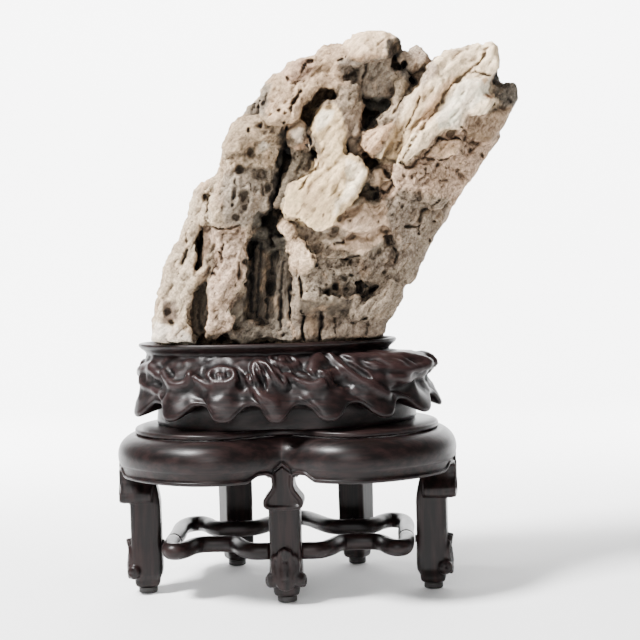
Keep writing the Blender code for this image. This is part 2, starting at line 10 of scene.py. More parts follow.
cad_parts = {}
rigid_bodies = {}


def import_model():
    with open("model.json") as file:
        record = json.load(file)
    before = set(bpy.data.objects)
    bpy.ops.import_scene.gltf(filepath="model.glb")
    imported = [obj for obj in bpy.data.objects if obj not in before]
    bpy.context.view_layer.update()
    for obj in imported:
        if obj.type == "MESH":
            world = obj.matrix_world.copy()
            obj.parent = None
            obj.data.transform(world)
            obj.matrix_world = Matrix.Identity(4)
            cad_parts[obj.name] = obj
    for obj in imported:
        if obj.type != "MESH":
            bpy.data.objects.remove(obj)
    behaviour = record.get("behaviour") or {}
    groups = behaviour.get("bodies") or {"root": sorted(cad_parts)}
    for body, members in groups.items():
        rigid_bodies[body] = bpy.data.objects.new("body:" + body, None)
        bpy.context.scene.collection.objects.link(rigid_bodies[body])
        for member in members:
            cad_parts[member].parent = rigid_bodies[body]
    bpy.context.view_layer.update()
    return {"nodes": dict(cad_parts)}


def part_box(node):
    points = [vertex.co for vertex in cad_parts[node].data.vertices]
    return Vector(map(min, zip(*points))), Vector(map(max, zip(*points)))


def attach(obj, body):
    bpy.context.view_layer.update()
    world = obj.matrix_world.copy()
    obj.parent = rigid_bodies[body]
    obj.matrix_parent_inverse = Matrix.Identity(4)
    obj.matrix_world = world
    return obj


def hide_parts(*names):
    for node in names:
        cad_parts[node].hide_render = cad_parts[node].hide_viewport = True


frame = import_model()

bl_info = {
    "name": "Scholar's Rock on its Stand",
    "version": (1, 0, 0),
    "blender": (4, 5, 0),
    "location": "View3D > Sidebar > Scholar's Rock",
    "description": "Dresses the packed frame of a scholar's rock on a carved base and stool",
    "category": "Add Mesh",
}

MM = 0.001

# ---------------------------------------------------------------- the rock's drawing
# The rock's forms are drawn on a grid of squares, x to the right and y down, in the plane of
# its face. Depths are millimetres from that plane, negative towards the viewer.
GRID = 0.7                      # millimetres a square
GRID_FOOT = (287.0, 345.0)      # the square above the stand's middle, at the foot of the drawing
SIGHT = (-2.1, 48.3)            # where the line of sight meets the plane, mm
SIGHT_HEIGHT = 216.0
VIEW_DISTANCE = 900.0
FACE_TURN = math.radians(4.0)
FACE_ROLL = math.radians(1.5)

# form: name, front depth, back depth, lean across and up, rounding, outline
ROCK_FORMS = (
    ("core low", -12, 40, (0, 0), 12, [(157, 338), (160, 308), (170, 268), (186, 236), (196, 206),
     (215, 188), (228, 170), (240, 150), (330, 150), (420, 180), (466, 180), (452, 204), (430, 242),
     (416, 272), (402, 285), (399, 300), (384, 320), (380, 342), (300, 343), (196, 346), (165, 343)]),
    ("core high", -8, 30, (0, 0), 12, [(220, 176), (226, 150), (230, 132), (238, 120), (256, 108),
     (266, 92), (286, 76), (306, 63), (330, 52), (356, 40), (384, 40), (392, 62), (404, 74), (432, 66),
     (456, 54), (492, 50), (500, 86), (512, 92), (512, 100), (496, 134), (474, 170), (440, 226),
     (300, 230), (215, 200)]),
    ("heel", -36, 20, (-0.22, 0.06), 3, [(153, 338), (153, 328), (156, 306), (161, 289), (165, 277),
     (169, 259), (180, 242), (183, 234), (189, 220), (192, 211), (198, 218), (199, 238), (196, 258),
     (192, 268), (197, 273), (200, 279), (199, 286), (193, 290), (194, 304), (189, 311), (190, 324),
     (194, 338), (190, 347), (170, 344)]),
    ("heel foot", -40, 14, (-0.1, 0.2), 3, [(154, 340), (156, 326), (166, 320), (180, 328), (188, 322),
     (191, 334), (190, 347), (172, 345)]),
    ("shoulder lump", -36, 16, (-0.1, 0.1), 3, [(192, 212), (194, 203), (198, 192), (204, 190),
     (208, 199), (213, 206), (212, 216), (208, 224), (199, 222)]),
    ("shoulder knob", -38, 12, (0, 0.2), 4, [(202, 192), (203, 186), (208, 183), (218, 178), (217, 186),
     (212, 193), (206, 198)]),
    ("slit plate", -36, 6, (0.1, 0.05), 2, [(204, 226), (222, 226), (220, 244), (216, 262), (210, 280),
     (201, 281), (200, 274), (203, 258), (205, 240)]),
    ("side strip", -20, 8, (0, 0), 2, [(196, 282), (212, 276), (210, 300), (207, 330), (196, 338),
     (188, 330), (188, 310)]),
    ("pillar", -44, 8, (0.1, 0.06), 3, [(212, 227), (240, 228), (246, 234), (244, 246), (247, 260),
     (249, 268), (247, 276), (242, 288), (236, 298), (228, 308), (232, 318), (231, 328), (218, 328),
     (207, 333), (207, 318), (208, 304), (208, 290), (214, 278), (217, 268), (220, 252)]),
    ("pillar facet", -30, 6, (0.1, 0), 2, [(226, 308), (238, 294), (246, 288), (245, 330), (238, 332),
     (230, 328), (232, 318)]),
    ("pillar toe", -38, 6, (0.1, 0.2), 2, [(207, 334), (218, 328), (236, 330), (232, 336), (222, 332),
     (214, 338)]),
    ("recess wall", -15, 10, (-0.2, 0), 2, [(240, 232), (285, 226), (298, 250), (300, 343), (232, 344),
     (240, 300)]),
    ("recess rib", -24, 6, (-0.1, 0), 1.5, [(246, 292), (250, 262), (258, 242), (269, 240), (270, 262),
     (265, 298), (258, 318), (246, 318)]),
    ("recess ridge", -31, 6, (-0.1, 0.04), 1.5, [(276, 264), (284, 250), (291, 256), (293, 300),
     (297, 341), (275, 341), (272, 300)]),
    ("recess step", -28, 6, (0, 0.1), 1.5, [(261, 301), (273, 297), (275, 328), (260, 325)]),
    ("fragment", -36, 4, (0, 0), 1.5, [(275, 235), (281, 237), (288, 243), (284, 249), (273, 252),
     (276, 245)]),
    ("wedge", -32, 4, (0, 0.1), 2, [(250, 233), (260, 226), (273, 229), (268, 238), (256, 238)]),
    ("rubble", -34, 6, (0, 0.3), 2, [(226, 342), (234, 330), (246, 319), (262, 324), (278, 330),
     (292, 322), (296, 342)]),
    ("column", -44, 10, (0.1, 0.1), 5, [(226, 139), (234, 128), (250, 122), (272, 122), (284, 126),
     (286, 132), (281, 140), (278, 150), (277, 162), (276, 174), (278, 183), (273, 196), (271, 207),
     (264, 211), (258, 222), (250, 234), (243, 236), (240, 228), (212, 226), (210, 216), (213, 206),
     (208, 198), (214, 192), (218, 180), (221, 166), (224, 150)]),
    ("column cap", -47, 8, (0.08, 0.8), 4, [(227, 140), (233, 122), (246, 117), (264, 119), (279, 119),
     (287, 128), (281, 137), (268, 142), (250, 144), (236, 150), (226, 154)]),
    ("column side", -33, 6, (0.2, 0), 2, [(282, 127), (288, 131), (290, 141), (287, 152), (282, 170),
     (278, 182), (275, 178), (276, 150)]),
    ("crest shoulder", -24, 10, (0, 0.1), 2, [(244, 116), (251, 108), (258, 101), (262, 92), (268, 84),
     (274, 88), (268, 112), (262, 120), (246, 120)]),
    ("crest", -42, 12, (0.05, 0.65), 5, [(266, 88), (272, 80), (282, 77), (289, 67), (300, 61),
     (320, 60), (345, 60), (352, 68), (345, 80), (338, 89), (317, 91), (311, 102), (301, 106),
     (300, 118), (292, 124), (280, 128), (262, 121), (262, 110)]),
    ("crest back", -32, 16, (0, 0.7), 5, [(282, 76), (290, 65), (304, 60), (314, 58), (318, 51),
     (324, 48), (344, 45), (352, 41), (362, 44), (388, 46), (392, 58), (378, 64), (352, 66),
     (316, 68), (296, 76)]),
    ("crest tip", -35, 12, (0.1, 0.6), 5, [(350, 42), (356, 34), (364, 32), (386, 32), (396, 37),
     (399, 42), (390, 48), (392, 56), (378, 62), (352, 60)]),
    ("crest end", -15, 8, (0, 0), 3, [(388, 42), (396, 38), (402, 46), (400, 53), (393, 58), (388, 58)]),
    ("fibre wall", -22, 8, (0, 0.1), 2, [(342, 66), (362, 59), (392, 60), (394, 74), (393, 98),
     (380, 104), (364, 96), (362, 82), (350, 84), (342, 78)]),
    ("end wall", -2, 10, (0, 0), 2, [(384, 54), (393, 57), (400, 60), (406, 64), (404, 78), (386, 78)]),
    ("hollow wall", -8, 10, (0, 0), 2, [(352, 80), (396, 80), (398, 106), (372, 118), (356, 110)]),
    ("cheek", -40, 4, (0.25, 0.2), 3, [(338, 89), (350, 82), (358, 85), (360, 93), (358, 99),
     (362, 107), (366, 118), (362, 130), (358, 138), (348, 136), (344, 122), (341, 112), (334, 106),
     (322, 104), (336, 101)]),
    ("tan fold", -38, 2, (0.1, 0.1), 3, [(346, 134), (357, 134), (361, 145), (360, 158), (352, 160),
     (348, 152)]),
    ("orange plate", -46, 2, (0.1, 0.1), 2, [(360, 148), (364, 136), (374, 128), (386, 125), (391, 124),
     (384, 139), (377, 152), (372, 160), (366, 158)]),
    ("sliver", -42, 4, (0.05, 0.1), 3, [(289, 128), (292, 121), (301, 121), (306, 131), (308, 146),
     (302, 149), (295, 154), (291, 149)]),
    ("throat", -41, 4, (0.3, 0.1), 3, [(291, 152), (300, 148), (312, 158), (310, 172), (298, 182),
     (286, 196), (282, 208), (274, 208), (280, 190), (288, 168)]),
    ("tongue", -54, 2, (0, 0.28), 2, [(312, 128), (313, 113), (321, 107), (333, 106), (340, 112),
     (345, 122), (346, 134), (344, 144), (347, 154), (357, 158), (366, 165), (370, 172), (364, 184),
     (352, 200), (342, 212), (330, 226), (320, 231), (308, 226), (300, 222), (284, 214), (283, 203),
     (290, 190), (300, 181), (311, 170), (316, 160), (308, 150), (308, 140)]),
    ("tongue step", -57, 0, (0.15, 0.25), 3, [(306, 178), (320, 160), (338, 160), (356, 166), (352, 182),
     (338, 202), (326, 216), (308, 216), (292, 206), (294, 192)]),
    ("tube", -48, 0, (-0.35, 0.15), 4, [(278, 219), (288, 221), (300, 231), (308, 243), (316, 256),
     (314, 267), (306, 273), (296, 271), (290, 256), (284, 240), (279, 230)]),
    ("grey nook", -38, 2, (0, 0), 2, [(298, 224), (322, 228), (328, 240), (322, 258), (314, 262),
     (304, 244)]),
    ("lump high", -43, 2, (0.1, 0.4), 5, [(334, 224), (346, 209), (354, 201), (364, 196), (374, 201),
     (384, 209), (386, 224), (372, 232), (350, 233)]),
    ("lump low", -45, 2, (0.1, 0.5), 4, [(321, 230), (336, 227), (347, 232), (344, 243), (330, 247),
     (320, 242)]),
    ("shelf", -41, 4, (0.1, 0.7), 3, [(318, 246), (340, 243), (348, 234), (366, 231), (386, 232),
     (391, 237), (378, 248), (364, 255), (342, 258), (322, 258)]),
    ("shade nook", -26, 4, (0, 0), 3, [(348, 196), (366, 178), (384, 190), (384, 204), (352, 208)]),
    ("pebble", -38, 2, (0.2, 0.3), 6, [(370, 180), (373, 168), (382, 170), (391, 178), (392, 185),
     (388, 191), (380, 192), (372, 187)]),
    ("mass", -42, 10, (0.22, 0.3), 5, [(292, 264), (312, 264), (322, 257), (344, 258), (372, 252),
     (390, 236), (399, 250), (394, 268), (382, 284), (366, 284), (352, 280), (336, 282), (318, 296),
     (298, 298), (294, 288)]),
    ("right rough", -34, 12, (0.45, -0.2), 5, [(378, 198), (400, 190), (418, 194), (440, 204),
     (448, 213), (440, 228), (433, 240), (425, 254), (419, 268), (413, 280), (404, 284), (392, 288),
     (382, 282), (394, 266), (398, 248), (388, 232), (384, 214)]),
    ("pit field", -38, 6, (0.2, -0.3), 3, [(310, 290), (334, 276), (356, 276), (372, 282), (366, 298),
     (340, 302), (312, 302)]),
    ("belly", -50, 4, (0.12, -0.9), 6, [(295, 298), (312, 293), (330, 297), (350, 298), (362, 294),
     (360, 304), (350, 313), (330, 316), (303, 313), (296, 306)]),
    ("fold", -44, 8, (0.3, -0.35), 5, [(352, 312), (366, 302), (378, 290), (392, 280), (404, 283),
     (402, 300), (394, 309), (386, 321), (370, 322), (354, 320)]),
    ("flute a", -40, 10, (0, 0), 2, [(293, 306), (303, 311), (305, 342), (293, 342)]),
    ("flute b", -42, 10, (0.1, 0), 2, [(306, 311), (320, 313), (319, 342), (306, 342)]),
    ("flute c", -43, 10, (0.1, 0), 2, [(323, 312), (352, 318), (352, 341), (322, 342)]),
    ("flute d", -40, 10, (0.16, 0), 2, [(353, 320), (386, 320), (383, 335), (370, 337), (353, 339)]),
    ("wing", -36, 12, (0.4, 0.2), 4, [(398, 166), (406, 160), (424, 152), (440, 140), (462, 138),
     (492, 142), (499, 128), (497, 141), (488, 152), (480, 163), (476, 174), (468, 183), (458, 190),
     (446, 201), (440, 206), (418, 197), (396, 193), (388, 180)]),
    ("wing facet", -22, 6, (0.2, 0), 2, [(442, 206), (450, 192), (466, 183), (462, 193), (448, 211),
     (440, 216)]),
    ("tan patch", -27, 8, (0.45, 0.1), 2, [(467, 115), (486, 115), (498, 107), (506, 110), (513, 108),
     (506, 120), (499, 131), (493, 142), (466, 136), (468, 124)]),
    ("ledge block", -39, 6, (0.1, 0.4), 2, [(428, 150), (433, 142), (439, 134), (447, 132), (462, 138),
     (460, 156), (442, 160), (424, 159)]),
    ("sail top", -36, 10, (0.1, 0.3), 4, [(418, 90), (424, 78), (430, 66), (438, 58), (446, 53),
     (456, 50), (470, 48), (483, 48), (480, 60), (468, 72), (456, 80), (444, 94), (440, 102),
     (428, 104), (418, 98)]),
    ("sail edge", -34, 10, (0.1, 0.1), 3, [(484, 50), (488, 45), (494, 44), (498, 52), (500, 68),
     (492, 76), (478, 75), (470, 72), (478, 60)]),
    ("sail white", -44, 8, (0.15, 0.25), 4, [(444, 100), (456, 82), (468, 74), (491, 77), (489, 92),
     (499, 98), (492, 106), (486, 115), (467, 115), (466, 128), (460, 132), (446, 130), (436, 134),
     (428, 147), (418, 153), (406, 165), (396, 160), (404, 146), (416, 130), (430, 116)]),
    ("sail middle", -38, 8, (-0.25, 0.15), 4, [(402, 106), (408, 98), (416, 88), (424, 84), (436, 86),
     (441, 99), (432, 113), (418, 128), (406, 145), (398, 160), (388, 162), (386, 146), (394, 130),
     (400, 118)]),
    ("sail root", -30, 6, (0.1, 0.1), 4, [(378, 160), (390, 150), (410, 150), (412, 162), (398, 172),
     (384, 172)]),
    ("sail fold", -43, 6, (0.2, 0.2), 3, [(371, 161), (378, 150), (388, 132), (394, 120), (400, 108),
     (402, 119), (396, 134), (388, 149), (380, 162)]),
    ("light rib", -30, 6, (0.2, 0.3), 3, [(392, 79), (402, 73), (412, 78), (411, 86), (404, 100),
     (398, 112), (390, 122), (378, 124), (374, 119), (381, 114), (391, 108), (394, 96)]),
    ("top knob", -16, 8, (0, 0.4), 5, [(397, 66), (401, 57), (411, 50), (422, 50), (428, 55),
     (429, 64), (421, 68), (410, 71)]),
    ("knob neck", -10, 10, (0, 0), 3, [(396, 70), (412, 66), (430, 66), (438, 62), (438, 78),
     (422, 88), (408, 84)]),
    ("right tip", -16, 10, (0.3, -0.1), 4, [(490, 96), (494, 86), (502, 85), (508, 83), (516, 84),
     (520, 91), (519, 99), (512, 109), (503, 120), (494, 122)]),
)

# forms of the back, drawn in millimetres as seen from behind, x to the right and z up
BACK_FORMS = (
    ("back root", -47, 0, (0.1, 0.12), 4, [(88, 159), (84, 190), (70, 214), (44, 222), (20, 212),
     (0, 224), (-26, 214), (-54, 222), (-70, 190), (-62, 159)]),
    ("back shoulder", -44, 0, (-0.1, 0.2), 4, [(56, 205), (50, 240), (34, 270), (12, 286), (-10, 272),
     (-40, 262), (-70, 238), (-84, 232), (-60, 204), (-10, 196)]),
    ("back crest", -34, 0, (0.0, 0.25), 4, [(34, 292), (26, 312), (4, 340), (-22, 358), (-54, 368),
     (-74, 366), (-66, 336), (-40, 306), (-16, 280), (16, 276)]),
    ("back sail", -30, 0, (-0.1, 0.1), 4, [(-70, 282), (-84, 300), (-100, 332), (-118, 356),
     (-140, 358), (-148, 338), (-136, 304), (-116, 270), (-88, 262)]),
)

# cut into the fused forms: name, depth that the cut reaches, outline
ROCK_CUTS = (
    ("slit", 0, [(198, 228), (203, 227), (202, 246), (199, 262), (197, 272), (192, 268), (196, 256),
     (197, 240)]),
    ("cave", -18, [(314, 103), (317, 95), (324, 91), (337, 91), (335, 97), (329, 101), (321, 105)]),
    ("round pit", -22, [(310, 149), (314, 147), (318, 150), (319, 156), (315, 160), (310, 157)]),
    ("crest crack", -22, [(303, 116), (306, 111), (310, 114), (311, 122), (309, 129), (307, 125)]),
    ("gap high", -12, [(285, 128), (288, 127), (291, 138), (291, 150), (286, 151), (287, 140)]),
    ("gap", -14, [(285, 150), (291, 152), (288, 166), (284, 180), (280, 196), (275, 208), (270, 208),
     (274, 194), (278, 180), (283, 166)]),
    ("dark hollow", 2, [(362, 106), (368, 110), (378, 112), (388, 109), (381, 114), (375, 119),
     (368, 126), (362, 134), (358, 138), (361, 122)]),
    ("end hollow", -4, [(390, 58), (396, 58), (399, 64), (402, 72), (394, 72), (389, 68)]),
    ("knob hollow", -7, [(401, 62), (408, 61), (406, 68), (402, 71)]),
    ("neck hollow", 2, [(408, 78), (413, 75), (416, 82), (413, 86), (409, 82)]),
    ("cheek hollow", -20, [(342, 144), (347, 142), (350, 154), (346, 156)]),
    ("plate hollow", -24, [(360, 155), (364, 151), (371, 160), (366, 162)]),
    ("cavity", -26, [(354, 281), (364, 280), (364, 288), (360, 296), (355, 292)]),
    ("throat cavity", -18, [(259, 216), (264, 211), (272, 214), (281, 228), (287, 240), (282, 238),
     (274, 236), (268, 228), (260, 224)]),
)

# grooves: half width in squares, depth in mm, line
ROCK_CRACKS = (
    (1.8, 5, [(301, 73), (306, 66), (312, 63)]),
    (1.5, 4, [(338, 62), (346, 58)]),
    (2.2, 6, [(291, 111), (293, 104), (297, 98), (301, 92)]),
    (1.6, 8, [(309, 137), (311, 144)]),
    (1.6, 3, [(250, 184), (250, 196), (247, 204)]),
    (1.8, 3, [(236, 180), (235, 190), (232, 200)]),
    (1.5, 3, [(262, 184), (263, 196)]),
    (1.9, 5, [(204, 196), (209, 201), (211, 210), (210, 218)]),
    (2.2, 3.5, [(487, 48), (480, 60), (468, 72), (456, 82), (444, 94), (441, 102)]),
    (1.2, 2.5, [(468, 72), (478, 73), (490, 75)]),
    (1.4, 3, [(462, 127), (467, 132), (464, 135)]),
    (1.6, 5, [(438, 138), (446, 139), (461, 139)]),
    (1.4, 4, [(438, 136), (434, 144), (428, 151), (424, 158)]),
    (1.3, 4, [(424, 158), (432, 160), (444, 159), (452, 156)]),
    (1.1, 3, [(438, 180), (448, 180)]),
    (1.5, 5, [(384, 171), (391, 178), (392, 186), (388, 191), (380, 192), (372, 187)]),
    (1.5, 4, [(401, 162), (406, 168), (412, 166), (418, 160)]),
    (1.4, 4, [(440, 200), (428, 207), (420, 212), (418, 222), (419, 234)]),
    (1.7, 4, [(406, 227), (418, 226)]),
    (2.2, 5, [(386, 236), (394, 240), (397, 252), (396, 262)]),
    (1.5, 5, [(341, 260), (350, 257), (358, 255)]),
    (1.4, 4, [(326, 247), (336, 243), (345, 242)]),
    (1.6, 4, [(302, 236), (308, 246), (313, 256), (315, 266)]),
    (1.6, 6, [(299, 277), (302, 286), (301, 296)]),
    (1.7, 7, [(302, 310), (305, 318), (303, 328), (305, 341)]),
    (1.9, 7, [(322, 312), (321, 324), (320, 341)]),
    (2.2, 5, [(351, 325), (358, 318), (365, 317)]),
    (1.3, 3, [(361, 299), (368, 294), (378, 287)]),
    (1.8, 4, [(187, 251), (183, 262)]),
    (1.6, 4, [(224, 244), (220, 257), (216, 268), (212, 277)]),
    (1.4, 3, [(239, 262), (240, 280)]),
    (1.4, 4, [(213, 227), (226, 228), (240, 226)]),
    (1.4, 3, [(193, 222), (188, 232), (186, 241)]),
    (1.2, 2, [(288, 81), (291, 86), (300, 83)]),
    (1.7, 4, [(268, 92), (266, 102), (264, 110)]),
    (1.7, 4, [(262, 98), (259, 112)]),
    (1.3, 3, [(255, 105), (252, 113)]),
    (1.6, 4, [(393, 82), (391, 94), (392, 104)]),
    (1.6, 3, [(344, 78), (352, 76), (358, 70)]),
    (1.4, 3, [(352, 66), (356, 76), (354, 84)]),
    (1.6, 3, [(366, 64), (364, 76), (362, 86)]),
    (1.5, 3, [(410, 86), (404, 98), (399, 108)]),
    (1.6, 3, [(438, 106), (426, 124), (412, 142), (404, 158)]),
    (1.5, 2.5, [(420, 96), (416, 112), (404, 134), (396, 150)]),
    (1.6, 3, [(318, 164), (308, 178), (300, 190)]),
    (1.2, 4, [(283, 215), (292, 219), (300, 219)]),
    (1.8, 5, [(254, 244), (252, 268), (251, 292), (252, 312)]),
    (1.5, 4, [(262, 244), (259, 268), (258, 296), (257, 316)]),
    (1.5, 4, [(284, 262), (281, 290), (280, 320), (284, 338)]),
    (1.4, 4, [(291, 268), (290, 296), (292, 322)]),
    (1.5, 4, [(268, 300), (267, 322)]),
    (1.4, 3, [(336, 318), (334, 330), (338, 341)]),
    (1.4, 3, [(368, 322), (366, 334)]),
    (1.6, 3, [(200, 302), (198, 316), (202, 330)]),
)

# round pits: x, y, radius in squares, depth in mm
ROCK_PITS = (
    (249, 132, 2.3, 4), (261, 126.5, 1.9, 3), (251, 154, 4.2, 4), (240, 171, 6, 5),
    (260, 175, 7, 5), (268, 187, 4, 4),
    (245, 196, 5, 6), (245, 208, 3.2, 4), (207, 197, 3.4, 5), (279, 111, 2.4, 5), (270, 114, 2.2, 4),
    (284.5, 115, 1.7, 3), (284, 124, 1.7, 4), (403, 66, 3, 3), (482, 155, 2.6, 4), (438, 164, 2.3, 4),
    (418, 194, 3.4, 5), (376, 197, 3, 4), (324, 216, 1.6, 4), (336, 287, 2.8, 7), (326, 292, 3.2, 6),
    (326, 284, 2.2, 3), (346, 279, 2.6, 4), (319, 290, 2.2, 4), (346, 289, 2, 4), (352, 276, 2, 3),
    (262, 323, 4, 6), (236, 217, 3.6, 4), (232, 206, 2.2, 3), (494, 104, 2.2, 4), (510, 101, 2.4, 3),
    (497, 77, 4, 4), (462, 175, 3, 2), (288, 83, 2, 3), (222, 249, 1.8, 3), (215, 273, 2.6, 4),
    (240, 274, 2.4, 4), (246, 262, 2, 4), (168, 312, 4, 4), (172, 322, 3, 4), (196, 336, 3, 3),
    (330, 299, 1.6, 2), (388, 240, 2.6, 4), (386, 232, 2, 3), (430, 240, 2, 3), (436, 222, 2, 3),
    (392, 214, 2.2, 3), (402, 206, 2, 3), (378, 222, 1.8, 2), (347, 216, 1.8, 3), (350, 220, 1.8, 3),
    (458, 170, 2, 2.5), (470, 150, 1.8, 2), (446, 168, 1.6, 2), (426, 170, 2, 3), (412, 178, 1.8, 3),
    (404, 176, 1.6, 3), (384, 272, 1.8, 3), (392, 284, 1.8, 3), (366, 268, 1.6, 2), (350, 262, 2.6, 3),
    (371, 119, 2, 4), (414, 81, 3, 4), (368, 100, 4, 3), (356, 318, 2.4, 3),
)

